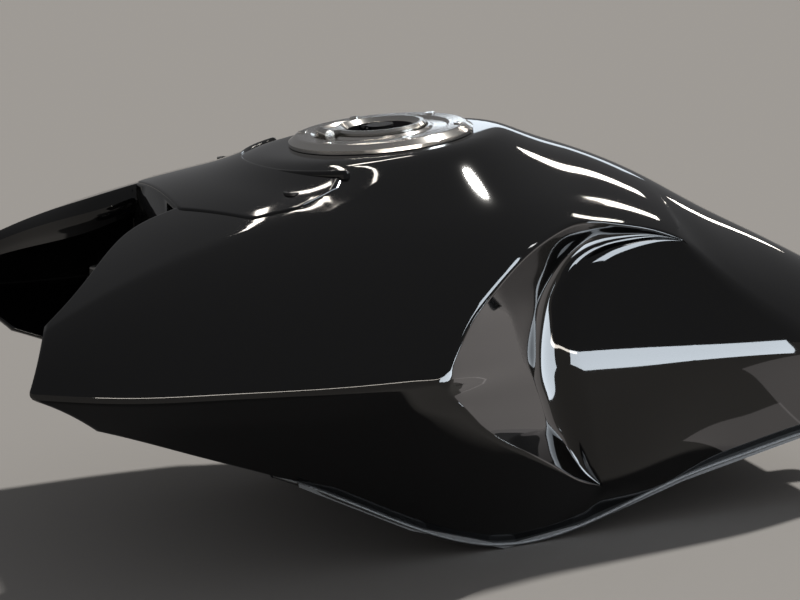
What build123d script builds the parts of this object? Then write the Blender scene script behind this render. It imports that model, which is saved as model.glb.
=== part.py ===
from build123d import *
import os
from collections import namedtuple
from math import atan2, cos, radians, sin

# Motorcycle fuel tank with its filler cap, fuel pump flange and rubber mounts, in millimetres.
# +X points to the front of the motorcycle, +Y to the rider's left, +Z up.
# The origin is the middle of the rear mounting bolt's hole.

os.makedirs("parts", exist_ok=True)

TAIL_X = 18.0

# Outer skin: one row for each section across the tank, from the tail to the wing tips.
# crown is the top centre line, shoulder the upper crease, belt the widest crease,
# seam the line under the belt, foot the lower edge; bulge is how far the side swells.
Section = namedtuple(
    "Section",
    "x crown_z shoulder_y shoulder_z belt_y belt_z bulge seam_y seam_z foot_y foot_z",
)
SKIN = [
    Section(TAIL_X, 73, 45, 61, 84, 16, 4, 84, 1, 74, -26),
    Section(66, 97, 54, 80, 98, 32, 5, 97, 10, 78, -32),
    Section(115, 121, 58, 104, 108, 55, 6, 106, 25, 83, -41),
    Section(164, 147, 62, 131, 128, 70, 9, 122, 33, 88, -51),
    Section(235, 174, 72, 154, 166, 64, 12, 158, 33, 97, -71),
    Section(303, 186, 84, 168, 196, 61, 13, 181, 37, 105, -78),
    Section(378, 178, 91, 164, 200, 61, 13, 185, 39, 116, -52),
    Section(440, 165, 104, 150, 196, 59, 11, 173, 36, 126, -20),
    Section(510, 150, 119, 132, 186, 58, 9, 160, 35, 134, 8),
    Section(565, 133, 130, 114, 177, 58, 7, 151, 38, 139, 29),
    Section(622, 112, 143, 88, 160, 62, 3, 153, 55, 148, 48),
]
SKIRT = 14.0

# Knee pad surface behind the scoops: a body inside the skin, widest at its rounded ridge.
Knee = namedtuple("Knee", "x top_y top_z ridge_y ridge_z low_y")
KNEE = [
    Knee(24, 62, 36, 79, 22, 65),
    Knee(80, 80, 62, 96, 36, 63),
    Knee(140, 90, 92, 105, 42, 74),
    Knee(202, 97, 115, 113, 47, 86),
    Knee(264, 102, 126, 120, 53, 98),
    Knee(330, 104, 128, 124, 55, 101),
]
RIDGE_ABOVE = (-1.5, 8.0)
RIDGE_BELOW = (-1.0, -7.0)
KNEE_BOTTOM = -95.0
KNEE_BULGE = 0.8

# Scoop in front of each knee: its edge on the skin, the bend of its hollow wall, which lies in a plane
# along the tank, and the foot of its wall on the knee.
Scoop = namedtuple("Scoop", "edge_x edge_y edge_z bend_x bend_z foot_x foot_y foot_z")
SCOOP = [
    Scoop(0, 95, -5, 0, -5, 0, 85, -5),
    Scoop(101, 98, 57, 101, 57, 101, 88, 57),
    Scoop(144, 97, 90, 144, 90, 144, 87, 90),
    Scoop(169, 95, 113, 173, 118, 167, 82, 111),
    Scoop(195, 99, 123, 222, 148, 190, 94, 118),
    Scoop(225, 107, 130, 243, 150, 215, 96, 119),
    Scoop(256, 118, 134, 265, 144, 239, 98, 116),
    Scoop(283, 134, 131, 279, 128, 256, 102, 110),
    Scoop(314, 155, 120, 293, 112, 266, 106, 101),
    Scoop(339, 171, 105, 302, 97, 273, 110, 90),
    Scoop(358, 183, 90, 307, 81, 277, 112, 77),
    Scoop(378, 200, 61, 309, 49, 279, 114, 48),
    Scoop(363, 186, 39, 304, 27, 273, 113, 24),
    Scoop(350, 177, 26, 300, 14, 268, 111, 10),
    Scoop(314, 158, 1, 288, -3, 261, 109, -5),
    Scoop(276, 137, -23, 271, -23, 254, 108, -21),
    Scoop(255, 124, -36, 258, -37, 246, 110, -34),
    Scoop(235, 114, -44, 239, -48, 230, 108, -38),
    Scoop(205, 104, -66, 209, -70, 203, 94, -64),
    Scoop(180, 100, -110, 180, -110, 180, 90, -110),
    Scoop(0, 95, -110, 0, -110, 0, 85, -110),
]
SCOOP_INNER_Y = 82.0
SCOOP_BEND_Y = 128.0
SCOOP_OUTER_Y = 215.0

# Belly line in side view, as (x, z), and plan outline of the lower edge, as (x, y).
BELLY = [
    (-10, -22), (66, -32), (164, -51), (244, -72), (303, -78),
    (372, -55), (465, -7), (577, 33), (660, 62),
]
EDGE = [(18, 73), (66, 78), (164, 88), (244, 98), (303, 105), (372, 115), (450, 126)]
BELLY_CLEAR = -120.0
SHEET = 2.5
FLANGE = 5.0
FRONT_WALL_X = 503.0

# Tunnel for the frame tubes, its roof rising towards the front.
TUNNEL_HALF = 56.0
TUNNEL_REAR = (18.0, -14.0)
TUNNEL_FRONT = (512.0, 76.0)
TUNNEL_CORNER = 10.0
TUNNEL_START_X = -30.0
TUNNEL_LENGTH = 760.0
TUNNEL_DEEP = 190.0

# Notch for the steering head between the wings, in plan, and the hollow under each wing.
# Below the lip's sloping line, given in side view, the notch opens into the hollows.
NOTCH = [(505, 52), (540, 66), (572, 104), (606, 136), (650, 152)]
LIP = [(507, 129), (605, 84)]
UNDER_LIP = [(507, 68), (540, 80), (572, 117), (600, 138), (650, 150)]
Hollow = namedtuple(
    "Hollow",
    "x inner_y inner_z outer_y outer_z belt_y belt_z seam_y seam_z foot_y foot_z",
)
HOLLOW = [
    Hollow(468, 62, 140, 108, 134, 184, 57, 164, 38, 126, -6),
    Hollow(535, 70, 128, 120, 118, 174, 56, 153, 39, 133, 20),
    Hollow(598, 135, 88, 136, 88, 159, 57, 150, 48, 142, 43),
]

# Filler: everything on the cap's own plane, which is tipped towards the nose.
CAP_X = 350.0
CAP_Z = 185.0
CAP_TILT = 5.5
BOSS_RADIUS = 80.0
BOSS_TAPER = -50.0
BOSS_DEEP = 16.0
BOSS_DROP = 6.0
RING_RADIUS = 62.0
RING_INNER = 32.5
# Upper side of the ring's section, then the lid's, as (radius, height above the cap's plane).
RING_TOP = [
    (62.0, -3.6), (57.5, -0.4), (56.0, 0.0), (46.5, 0.0),
    (44.5, -1.4), (36.0, -1.4), (34.0, -0.2), (32.5, -0.2),
]
LID_TOP = [(31.0, 1.6), (29.4, 3.2), (27.0, 3.2), (23.5, 0.4), (7.0, 0.0)]
LID_UNDER = -4.5
BOLT_SEAT = -1.6
BOLT_PROUD = 2.4
BOLT_SOCKET = 1.6
RING_BOLT_CIRCLE = 53.0
RING_BOLTS = 6
BOLT_RADIUS = 3.2
LID_RADIUS = LID_TOP[0][0]
NECK_RADIUS = 27.0
NECK_FLANGE = 40.0
NECK_GAP = 0.5
NECK_SEAT = 2.0
NECK_THROAT = 12.5
NECK_WALL = 2.5
FUNNEL_TOP = -16.0
FUNNEL_FOOT = -20.0
RING_POCKET = 3.6
NECK_DEPTH = 60.0
HINGE_FORWARD = 38.5
HINGE_HEIGHT = 1.8
PIN_RADIUS = 1.5
PIN_FIT = 0.05
KNUCKLE_RADIUS = 3.2
KNUCKLE_WIDTH = 9.0
EAR_WIDTH = 5.0
EAR_PLAY = 0.5
PLUG_RADIUS = 19.0
PLUG_BOTTOM = -12.0
BARREL_RADIUS = 7.0
FLAP_RADIUS = 9.0
FLAP_HINGE = 11.0
FLAP_HEIGHT = 1.8
FLAP_PIN = 0.7
FLAP_KNUCKLE = 1.5
FLAP_KNUCKLE_WIDTH = 6.0
FLAP_PLAY = 0.3
FLAP_EAR = 2.5
FLAP_REST = 0.7
FLAP_THICK = 1.6
SEAL_MIDDLE = (27.5, -5.15)
SEAL_WIDE = 6.0
SEAL_HIGH = 1.3
LATCH_BOTTOM = -11.0
LATCH_HIGH = 2.5
KEY_SLOT = (9.0, 1.8)
KEY_SLOT_DEEP = 4.0

# Trim cover between the boss and the notch, with a collar round the boss, and its screws.
COVER_INNER = 92.0
COVER = [(503, 56), (468, 98), (440, 99), (408, 87)]
COLLAR_TOP = -9.5
COLLAR_THICK = 4.5
COLLAR_SPREAD = 3.0
COLLAR_DEEP = 22.0
COVER_THICK = 4.0
COVER_GAP = 0.4
COVER_SCREW = (436.0, 78.0)
SCREW_HEAD = 5.5
SCREW_HEAD_HIGH = 3.0
SCREW_SHANK = 3.0
SCREW_TOP = 158.5
SCREW_LONG = 16.0

# Fuel pump flange, on the tunnel's roof.
PUMP_X = 215.0
PUMP_RADIUS = 44.0
PUMP_THICK = 5.0
PUMP_DOME_RADIUS = 30.0
PUMP_DOME_HIGH = 6.0
PLUG_BACK = -12.0
PLUG_OUTER = (12.0, 24.0)
PLUG_INNER = (9.0, 21.0)
PLUG_HIGH = 16.0
PLUG_DEEP = 10.0
OUTLET_FORWARD = 12.0
OUTLET_DROP = 22.0
OUTLET_POST = 13.0
OUTLET_LENGTH = 26.0
OUTLET_RADIUS = 4.0
NIPPLE_RADIUS = 3.0
NIPPLE_LENGTH = 20.0
NIPPLE_X = 110.0
NIPPLE_Y = 26.0
PUMP_BOLTS = 6

# Rubber mounts: a steel sleeve in a spool-shaped grommet, in a tab.
SLEEVE_BORE = 4.25
SLEEVE_OUTER = 6.5
SLEEVE_LENGTH = 18.0
GROMMET_WAIST = 9.0
GROMMET_RADIUS = 13.0
GROMMET_HALF = 8.0
TAB_THICK = 3.0
TAB_RADIUS = 15.0
FRONT_LUG_X = 529.0
FRONT_LUG_Y = 33.0
FRONT_LUG_Z = 88.0

cap_normal = Vector(sin(radians(CAP_TILT)), 0, cos(radians(CAP_TILT)))
cap_forward = Vector(cos(radians(CAP_TILT)), 0, -sin(radians(CAP_TILT)))
cap_centre = Vector(CAP_X, 0, CAP_Z)
cap_axis = Axis(cap_centre, cap_normal)
cap_profile = Plane(origin=cap_centre, x_dir=cap_forward, z_dir=(0, -1, 0))
roof_slope = atan2(TUNNEL_FRONT[1] - TUNNEL_REAR[1], TUNNEL_FRONT[0] - TUNNEL_REAR[0])
roof_forward = Vector(cos(roof_slope), 0, sin(roof_slope))
roof_down = Vector(sin(roof_slope), 0, -cos(roof_slope))


def cap_level(height):
    """Plane of the cap, raised by height along its own normal."""
    return Plane(origin=cap_centre + cap_normal * height, x_dir=cap_forward, z_dir=cap_normal)


def roof_height(x):
    """Height of the tunnel's roof at x."""
    share = (x - TUNNEL_REAR[0]) / (TUNNEL_FRONT[0] - TUNNEL_REAR[0])
    return TUNNEL_REAR[1] + share * (TUNNEL_FRONT[1] - TUNNEL_REAR[1])


def flip(point):
    """The same point on the other side of the tank."""
    return (-point[0], point[1])


def swollen(start, end, bulge):
    """Middle point of an arc from start down to end that swells outwards by bulge."""
    run = Vector(end[0] - start[0], end[1] - start[1])
    middle = Vector((start[0] + end[0]) / 2, (start[1] + end[1]) / 2)
    outwards = Vector(-run.Y, run.X).normalized()
    return (middle.X + bulge * outwards.X, middle.Y + bulge * outwards.Y)


def inner_point(row):
    """Side-view point where the scoop's wall, carried on past its foot, meets the inner plane."""
    share = (SCOOP_BEND_Y - SCOOP_INNER_Y) / (SCOOP_BEND_Y - row.foot_y)
    x = row.bend_x + share * (row.foot_x - row.bend_x)
    z = row.bend_z + share * (row.foot_z - row.bend_z)
    return (x, z)


def outer_point(row):
    """Side-view point where the scoop's wall, carried on past its edge, meets the outer plane."""
    if row.edge_y <= SCOOP_BEND_Y:
        return (row.bend_x, row.bend_z)
    share = (SCOOP_OUTER_Y - SCOOP_BEND_Y) / (row.edge_y - SCOOP_BEND_Y)
    x = row.bend_x + share * (row.edge_x - row.bend_x)
    z = row.bend_z + share * (row.edge_z - row.bend_z)
    return (x, z)


def flip_plan(point):
    """The same plan point on the other side of the tank."""
    return (point[0], -point[1])


# Skin of the tank, filled in where the knees go
with BuildPart() as skin:
    for row in SKIN:
        shoulder = (row.shoulder_y, row.shoulder_z)
        belt = (row.belt_y, row.belt_z)
        seam = (row.seam_y, row.seam_z)
        lean = (row.seam_y - row.foot_y) / (row.seam_z - row.foot_z)
        skirt = (row.foot_y - 0.5 * lean * SKIRT, row.foot_z - SKIRT)
        swell = swollen(belt, shoulder, -row.bulge)
        with BuildSketch(Plane.YZ.offset(row.x)):
            with BuildLine():
                ThreePointArc(flip(shoulder), (0, row.crown_z), shoulder)
                ThreePointArc(shoulder, swell, belt)
                Polyline(belt, seam, skirt, flip(skirt), flip(seam), flip(belt))
                ThreePointArc(flip(belt), flip(swell), flip(shoulder))
            make_face()
    loft()
    # Scoops in front of the knees, each a tapered cut through its foot, its bend and its edge.
    for side in (1, -1):
        for y, outline in (
            (SCOOP_INNER_Y, [inner_point(row) for row in SCOOP]),
            (SCOOP_BEND_Y, [(row.bend_x, row.bend_z) for row in SCOOP]),
            (SCOOP_OUTER_Y, [outer_point(row) for row in SCOOP]),
        ):
            with BuildSketch(Plane(origin=(0, side * y, 0), x_dir=(1, 0, 0), z_dir=(0, -1, 0))):
                with BuildLine():
                    Polyline(*outline, close=True)
                make_face()
        loft(ruled=True, mode=Mode.SUBTRACT)

# Knee pads, both sides as one body through the tank
with BuildPart() as knees:
    for row in KNEE:
        top = (row.top_y, row.top_z)
        ridge = (row.ridge_y, row.ridge_z)
        above = (row.ridge_y + RIDGE_ABOVE[0], row.ridge_z + RIDGE_ABOVE[1])
        below = (row.ridge_y + RIDGE_BELOW[0], row.ridge_z + RIDGE_BELOW[1])
        low = (row.low_y, KNEE_BOTTOM)
        swell = swollen(above, top, -KNEE_BULGE)
        with BuildSketch(Plane.YZ.offset(row.x)):
            with BuildLine():
                Line(flip(top), top)
                ThreePointArc(top, swell, above)
                ThreePointArc(above, ridge, below)
                Polyline(below, low, flip(low), flip(below))
                ThreePointArc(flip(below), flip(ridge), flip(above))
                ThreePointArc(flip(above), flip(swell), flip(top))
            make_face()
    loft()


def tunnel(half, lift):
    """Solid that fills the tunnel, with its roof raised by lift, for cutting."""
    corner = TUNNEL_CORNER + lift
    with BuildPart() as space:
        start = Vector(TUNNEL_START_X, 0, roof_height(TUNNEL_START_X) + lift)
        with BuildSketch(Plane(origin=start, x_dir=(0, 1, 0), z_dir=roof_forward)):
            with Locations((0, -TUNNEL_DEEP / 2)):
                Rectangle(2 * half, TUNNEL_DEEP)
            fillet(tops(vertices()), radius=corner)
        extrude(amount=TUNNEL_LENGTH)
    return space.part


def tops(corners):
    """The two upper corners of the tunnel's outline."""
    return corners.group_by(Axis.Z)[-1]


def plan_prism(inner, outline, grow):
    """Tall prism over a crescent in plan, from the circle of radius inner to the outline."""
    with BuildPart() as prism:
        with BuildSketch(Plane.XY):
            with BuildLine():
                Polyline((CAP_X, 0), *reversed(outline), *[flip_plan(p) for p in outline], close=True)
            make_face()
            with Locations((CAP_X, 0)):
                Circle(inner, mode=Mode.SUBTRACT)
            if grow:
                offset(amount=grow, kind=Kind.INTERSECTION)
        extrude(amount=220)
    return prism.part


tunnel_space = tunnel(TUNNEL_HALF, 0)
tunnel_sheet = tunnel(TUNNEL_HALF + SHEET, SHEET)
cover_blank = plan_prism(COVER_INNER, COVER, 0)
cover_room = plan_prism(COVER_INNER, COVER, COVER_GAP)

# Seat of the front cover: the skin's top, lowered by the cover's thickness
with BuildPart() as cover_seat:
    for row in SKIN[6:10]:
        low = COVER_THICK
        with BuildSketch(Plane.YZ.offset(row.x)):
            with BuildLine():
                shoulder = (row.shoulder_y, row.shoulder_z - low)
                ThreePointArc(flip(shoulder), (0, row.crown_z - low), shoulder)
                corner = (row.shoulder_y + 30, BELLY_CLEAR)
                Polyline(shoulder, corner, flip(corner), flip(shoulder))
            make_face()
    loft()
with BuildPart() as cover_pocket:
    add(cover_room)
    add(cover_seat.part, mode=Mode.SUBTRACT)

# Space below the notch's lip
with BuildPart() as under_lip:
    with BuildSketch(Plane.XZ):
        with BuildLine():
            Polyline((LIP[0][0], BELLY_CLEAR), *LIP, (660, 62), (660, BELLY_CLEAR), close=True)
        make_face()
    extrude(amount=200, both=True)
    with BuildSketch(Plane.XY.offset(BELLY_CLEAR)):
        with BuildLine():
            Polyline(*UNDER_LIP, *[flip_plan(point) for point in reversed(UNDER_LIP)], close=True)
        make_face()
    extrude(amount=300, mode=Mode.INTERSECT)

with BuildPart() as tank_shell:
    add(skin.part)
    add(knees.part)
    # Flat belly strips in side view.
    with BuildSketch(Plane.XZ):
        with BuildLine():
            Polyline(*BELLY, (660, -200), (-10, -200), close=True)
        make_face()
    extrude(amount=260, both=True, mode=Mode.SUBTRACT)
    # Boss under the filler ring.
    with BuildSketch(cap_level(-BOSS_DROP)):
        Circle(BOSS_RADIUS)
    extrude(amount=-BOSS_DEEP, taper=BOSS_TAPER)
    with BuildSketch(cap_level(-BOSS_DROP)):
        Circle(BOSS_RADIUS)
    extrude(amount=30, mode=Mode.SUBTRACT)
    # Notch for the steering head.
    with BuildSketch(Plane.XY.offset(-60)):
        with BuildLine():
            Polyline(*NOTCH, *[flip_plan(point) for point in reversed(NOTCH)], close=True)
        make_face()
    extrude(amount=300, mode=Mode.SUBTRACT)
    # Hollow under each wing.
    for side in (1, -1):
        for row in HOLLOW:
            with BuildSketch(Plane.YZ.offset(row.x)):
                with BuildLine():
                    Polyline(
                        (side * row.inner_y, -90),
                        (side * row.inner_y, row.inner_z),
                        (side * row.outer_y, row.outer_z),
                        (side * row.belt_y, row.belt_z),
                        (side * row.seam_y, row.seam_z),
                        (side * row.foot_y, row.foot_z),
                        (side * row.foot_y, -90),
                        close=True,
                    )
                make_face()
        loft(ruled=True, mode=Mode.SUBTRACT)
    add(under_lip.part, mode=Mode.SUBTRACT)
    add(tunnel_sheet, mode=Mode.SUBTRACT)
    # Hole for the filler neck, and its seat under the ring.
    with BuildSketch(cap_level(-BOSS_DROP)):
        Circle(NECK_FLANGE)
    extrude(amount=-NECK_SEAT, mode=Mode.SUBTRACT)
    with BuildSketch(cap_level(-BOSS_DROP)):
        Circle(NECK_RADIUS)
    extrude(amount=-NECK_DEPTH, mode=Mode.SUBTRACT)
    add(cover_pocket.part, mode=Mode.SUBTRACT)
    with BuildSketch(Plane.XY.offset(SCREW_TOP)):
        with Locations(COVER_SCREW, flip_plan(COVER_SCREW)):
            Circle(SCREW_SHANK)
    extrude(amount=-SCREW_LONG, mode=Mode.SUBTRACT)
    with BuildSketch(Plane.XY.offset(SCREW_TOP - SCREW_HEAD_HIGH)):
        with Locations(COVER_SCREW, flip_plan(COVER_SCREW)):
            Circle(SCREW_HEAD + 1.5)
    extrude(amount=30, mode=Mode.SUBTRACT)
tank_shell.part.label = "tank_shell"
export_step(tank_shell.part, "parts/tank_shell.step")

# Pressed sheet under the tank: belly strips with a weld flange, and the tunnel's lining
with BuildPart() as lining:
    add(tunnel_sheet)
    with BuildSketch(Plane.XZ):
        with BuildLine():
            Polyline(*BELLY, (660, 300), (-10, 300), close=True)
        make_face()
    extrude(amount=260, both=True, mode=Mode.INTERSECT)
with BuildPart() as belly_pan:
    with BuildSketch(Plane.XY.offset(BELLY_CLEAR)):
        with BuildLine():
            outline = [(x, y + FLANGE) for x, y in EDGE]
            Polyline(*outline, *[flip_plan(point) for point in reversed(outline)], close=True)
        make_face()
    extrude(amount=260)
    with BuildSketch(Plane.XZ):
        with BuildLine():
            lower = [(x, z - SHEET) for x, z in reversed(BELLY)]
            Polyline(*BELLY, *lower, close=True)
        make_face()
    extrude(amount=260, both=True, mode=Mode.INTERSECT)
    add(lining.part)
    with BuildSketch(Plane.XY.offset(BELLY_CLEAR)):
        with Locations(((TAIL_X + FRONT_WALL_X) / 2, 0)):
            Rectangle(FRONT_WALL_X - TAIL_X, 320)
    extrude(amount=260, mode=Mode.INTERSECT)
    add(tunnel_space, mode=Mode.SUBTRACT)
belly_pan.part.label = "belly_pan"
export_step(belly_pan.part, "parts/belly_pan.step")

# Collar round the boss: a wall with a rounded top, on the cap's own plane
with BuildPart() as collar:
    inner = COVER_INNER + 0.5
    with BuildSketch(cap_profile):
        with BuildLine():
            Polyline(
                (inner, COLLAR_TOP - COLLAR_THICK / 2),
                (inner, COLLAR_TOP - COLLAR_DEEP),
                (inner + COLLAR_THICK + COLLAR_SPREAD, COLLAR_TOP - COLLAR_DEEP),
                (inner + COLLAR_THICK, COLLAR_TOP - COLLAR_THICK / 2),
            )
            ThreePointArc(
                (inner + COLLAR_THICK, COLLAR_TOP - COLLAR_THICK / 2),
                (inner + COLLAR_THICK / 2, COLLAR_TOP),
                (inner, COLLAR_TOP - COLLAR_THICK / 2),
            )
        make_face()
    revolve(axis=cap_axis)
    add(cover_blank, mode=Mode.INTERSECT)
    add(cover_seat.part, mode=Mode.SUBTRACT)

# Trim cover in front of the filler, with recessed screws
with BuildPart() as front_cover:
    add(cover_blank)
    add(skin.part, mode=Mode.INTERSECT)
    add(cover_seat.part, mode=Mode.SUBTRACT)
    add(collar.part)
    with BuildSketch(Plane.XY.offset(SCREW_TOP + 20)):
        with Locations(COVER_SCREW, flip_plan(COVER_SCREW)):
            Circle(SCREW_HEAD + 1.5)
    extrude(amount=-60, mode=Mode.SUBTRACT)
front_cover.part.label = "front_cover"
export_step(front_cover.part, "parts/front_cover.step")

with BuildPart() as cover_screws:
    with BuildSketch(Plane.XY.offset(SCREW_TOP)):
        with Locations(COVER_SCREW, flip_plan(COVER_SCREW)):
            Circle(SCREW_SHANK)
    extrude(amount=-SCREW_LONG)
    with BuildSketch(Plane.XY.offset(SCREW_TOP)):
        with Locations(COVER_SCREW, flip_plan(COVER_SCREW)):
            Circle(SCREW_HEAD)
    extrude(amount=-SCREW_HEAD_HIGH)
    with BuildSketch(Plane.XY.offset(SCREW_TOP)):
        with Locations(COVER_SCREW, flip_plan(COVER_SCREW)):
            RegularPolygon(2.9, 6)
    extrude(amount=-2.2, mode=Mode.SUBTRACT)
cover_screws.part.label = "cover_screws"
export_step(cover_screws.part, "parts/cover_screws.step")

# Filler neck: a flanged cup with a narrow throat that fits a fuel nozzle
with BuildPart() as filler_neck:
    with BuildSketch(cap_profile):
        with BuildLine():
            Polyline(
                (NECK_THROAT, FUNNEL_FOOT),
                (NECK_RADIUS - NECK_WALL, FUNNEL_TOP),
                (NECK_RADIUS - NECK_WALL, -BOSS_DROP),
                (NECK_FLANGE, -BOSS_DROP),
                (NECK_FLANGE, -BOSS_DROP - NECK_SEAT),
                (NECK_RADIUS, -BOSS_DROP - NECK_SEAT),
                (NECK_RADIUS, -BOSS_DROP - NECK_DEPTH),
                (0, -BOSS_DROP - NECK_DEPTH),
                (0, -BOSS_DROP - NECK_DEPTH + NECK_WALL),
                (NECK_THROAT, -BOSS_DROP - NECK_DEPTH + NECK_WALL),
                close=True,
            )
        make_face()
    revolve(axis=cap_axis)
filler_neck.part.label = "filler_neck"
export_step(filler_neck.part, "parts/filler_neck.step")

# Filler ring: chamfered outside, with a step and a pocket for the lid's hinge
with BuildPart() as filler_ring:
    with BuildSketch(cap_profile):
        with BuildLine():
            Polyline((RING_INNER, -BOSS_DROP), (RING_RADIUS, -BOSS_DROP), *RING_TOP, close=True)
        make_face()
    revolve(axis=cap_axis)
    with BuildSketch(cap_level(-RING_POCKET)):
        with Locations((HINGE_FORWARD, 0)):
            Rectangle(15, KNUCKLE_WIDTH + 2 * EAR_PLAY + 2 * EAR_WIDTH)
    extrude(amount=10, mode=Mode.SUBTRACT)
    # Ears that carry the hinge pin.
    for side in (1, -1):
        ear_y = side * (KNUCKLE_WIDTH / 2 + EAR_PLAY)
        with BuildSketch(Plane(origin=cap_centre + Vector(0, ear_y, 0), x_dir=cap_forward, z_dir=(0, -1, 0))):
            with Locations((HINGE_FORWARD, HINGE_HEIGHT)):
                Circle(KNUCKLE_RADIUS)
            with Locations((HINGE_FORWARD, (HINGE_HEIGHT - RING_POCKET - 1) / 2)):
                Rectangle(2 * KNUCKLE_RADIUS, HINGE_HEIGHT + RING_POCKET + 1)
        extrude(amount=-side * EAR_WIDTH)
    with BuildSketch(cap_profile):
        with Locations((HINGE_FORWARD, HINGE_HEIGHT)):
            Circle(PIN_RADIUS)
    extrude(amount=30, both=True, mode=Mode.SUBTRACT)
    with BuildSketch(cap_level(BOLT_SEAT)):
        with PolarLocations(RING_BOLT_CIRCLE, RING_BOLTS, start_angle=30):
            Circle(BOLT_RADIUS)
    extrude(amount=5, mode=Mode.SUBTRACT)
filler_ring.part.label = "filler_ring"
export_step(filler_ring.part, "parts/filler_ring.step")

with BuildPart() as ring_bolts:
    with BuildSketch(cap_level(BOLT_SEAT)):
        with PolarLocations(RING_BOLT_CIRCLE, RING_BOLTS, start_angle=30):
            Circle(BOLT_RADIUS)
    extrude(amount=BOLT_PROUD)
    with BuildSketch(cap_level(BOLT_SEAT + BOLT_PROUD)):
        with PolarLocations(RING_BOLT_CIRCLE, RING_BOLTS, start_angle=30):
            RegularPolygon(BOLT_SOCKET, 6)
    extrude(amount=-BOLT_SOCKET, mode=Mode.SUBTRACT)
ring_bolts.part.label = "ring_bolts"
export_step(ring_bolts.part, "parts/ring_bolts.step")

with BuildPart() as hinge_pin:
    with BuildSketch(cap_profile):
        with Locations((HINGE_FORWARD, HINGE_HEIGHT)):
            Circle(PIN_RADIUS)
    extrude(amount=KNUCKLE_WIDTH / 2 + EAR_PLAY + EAR_WIDTH, both=True)
hinge_pin.part.label = "hinge_pin"
export_step(hinge_pin.part, "parts/hinge_pin.step")

# Lid: a dished disc with a raised rim, a plug below and one knuckle at the front
with BuildPart() as filler_lid:
    with BuildSketch(cap_profile):
        with BuildLine():
            Polyline(
                (BARREL_RADIUS, PLUG_BOTTOM),
                (PLUG_RADIUS, PLUG_BOTTOM),
                (PLUG_RADIUS, LID_UNDER),
                (LID_RADIUS, LID_UNDER),
                *LID_TOP,
                close=True,
            )
        make_face()
    revolve(axis=cap_axis)
    with BuildSketch(cap_profile):
        with BuildLine():
            Polyline(
                (LID_RADIUS - 3, 0.4),
                (LID_RADIUS - 3, 3.0),
                (HINGE_FORWARD, HINGE_HEIGHT + KNUCKLE_RADIUS - 0.8),
                (HINGE_FORWARD, 0.4),
                close=True,
            )
        make_face()
        with Locations((HINGE_FORWARD, HINGE_HEIGHT)):
            Circle(KNUCKLE_RADIUS)
    extrude(amount=KNUCKLE_WIDTH / 2, both=True)
    with BuildSketch(cap_profile):
        with Locations((HINGE_FORWARD, HINGE_HEIGHT)):
            Circle(PIN_RADIUS + PIN_FIT)
    extrude(amount=30, both=True, mode=Mode.SUBTRACT)
    # Ears of the key flap's hinge.
    for side in (1, -1):
        ear_y = side * (FLAP_KNUCKLE_WIDTH / 2 + FLAP_PLAY)
        with BuildSketch(Plane(origin=cap_centre + Vector(0, ear_y, 0), x_dir=cap_forward, z_dir=(0, -1, 0))):
            with Locations((FLAP_HINGE, FLAP_HEIGHT)):
                Circle(FLAP_KNUCKLE)
            with Locations((FLAP_HINGE, FLAP_HEIGHT / 2)):
                Rectangle(2 * FLAP_KNUCKLE, FLAP_HEIGHT)
        extrude(amount=-side * FLAP_EAR)
    with BuildSketch(cap_profile):
        with Locations((FLAP_HINGE, FLAP_HEIGHT)):
            Circle(FLAP_PIN)
    extrude(amount=12, both=True, mode=Mode.SUBTRACT)
filler_lid.part.label = "filler_lid"
export_step(filler_lid.part, "parts/filler_lid.step")

with BuildPart() as lid_seal:
    with BuildSketch(cap_profile):
        with Locations(SEAL_MIDDLE):
            Rectangle(SEAL_WIDE, SEAL_HIGH)
    revolve(axis=cap_axis)
lid_seal.part.label = "lid_seal"
export_step(lid_seal.part, "parts/lid_seal.step")

with BuildPart() as lid_latch:
    with BuildSketch(cap_level(LATCH_BOTTOM)):
        with Locations((-PLUG_RADIUS - 1.5, 0)):
            Rectangle(4.0, 9.0)
        Circle(PLUG_RADIUS, mode=Mode.SUBTRACT)
    extrude(amount=LATCH_HIGH)
lid_latch.part.label = "lid_latch"
export_step(lid_latch.part, "parts/lid_latch.step")

with BuildPart() as lock_barrel:
    with BuildSketch(cap_level(PLUG_BOTTOM)):
        Circle(BARREL_RADIUS)
    extrude(amount=-PLUG_BOTTOM)
    with BuildSketch(cap_level(0)):
        Rectangle(*KEY_SLOT)
    extrude(amount=-KEY_SLOT_DEEP, mode=Mode.SUBTRACT)
lock_barrel.part.label = "lock_barrel"
export_step(lock_barrel.part, "parts/lock_barrel.step")

with BuildPart() as flap_pin:
    with BuildSketch(cap_profile):
        with Locations((FLAP_HINGE, FLAP_HEIGHT)):
            Circle(FLAP_PIN)
    extrude(amount=FLAP_KNUCKLE_WIDTH / 2 + FLAP_PLAY + FLAP_EAR, both=True)
flap_pin.part.label = "flap_pin"
export_step(flap_pin.part, "parts/flap_pin.step")

# Flap over the key hole
with BuildPart() as key_flap:
    with BuildSketch(cap_level(FLAP_REST)):
        Circle(FLAP_RADIUS)
        with Locations((FLAP_HINGE / 2, 0)):
            Rectangle(FLAP_HINGE, FLAP_KNUCKLE_WIDTH)
    extrude(amount=FLAP_THICK)
    with BuildSketch(cap_profile):
        with Locations((FLAP_HINGE, FLAP_HEIGHT)):
            Circle(FLAP_KNUCKLE - 0.1)
    extrude(amount=FLAP_KNUCKLE_WIDTH / 2, both=True)
    with BuildSketch(cap_profile):
        with Locations((FLAP_HINGE, FLAP_HEIGHT)):
            Circle(FLAP_PIN + PIN_FIT)
    extrude(amount=12, both=True, mode=Mode.SUBTRACT)
key_flap.part.label = "key_flap"
export_step(key_flap.part, "parts/key_flap.step")

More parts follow.
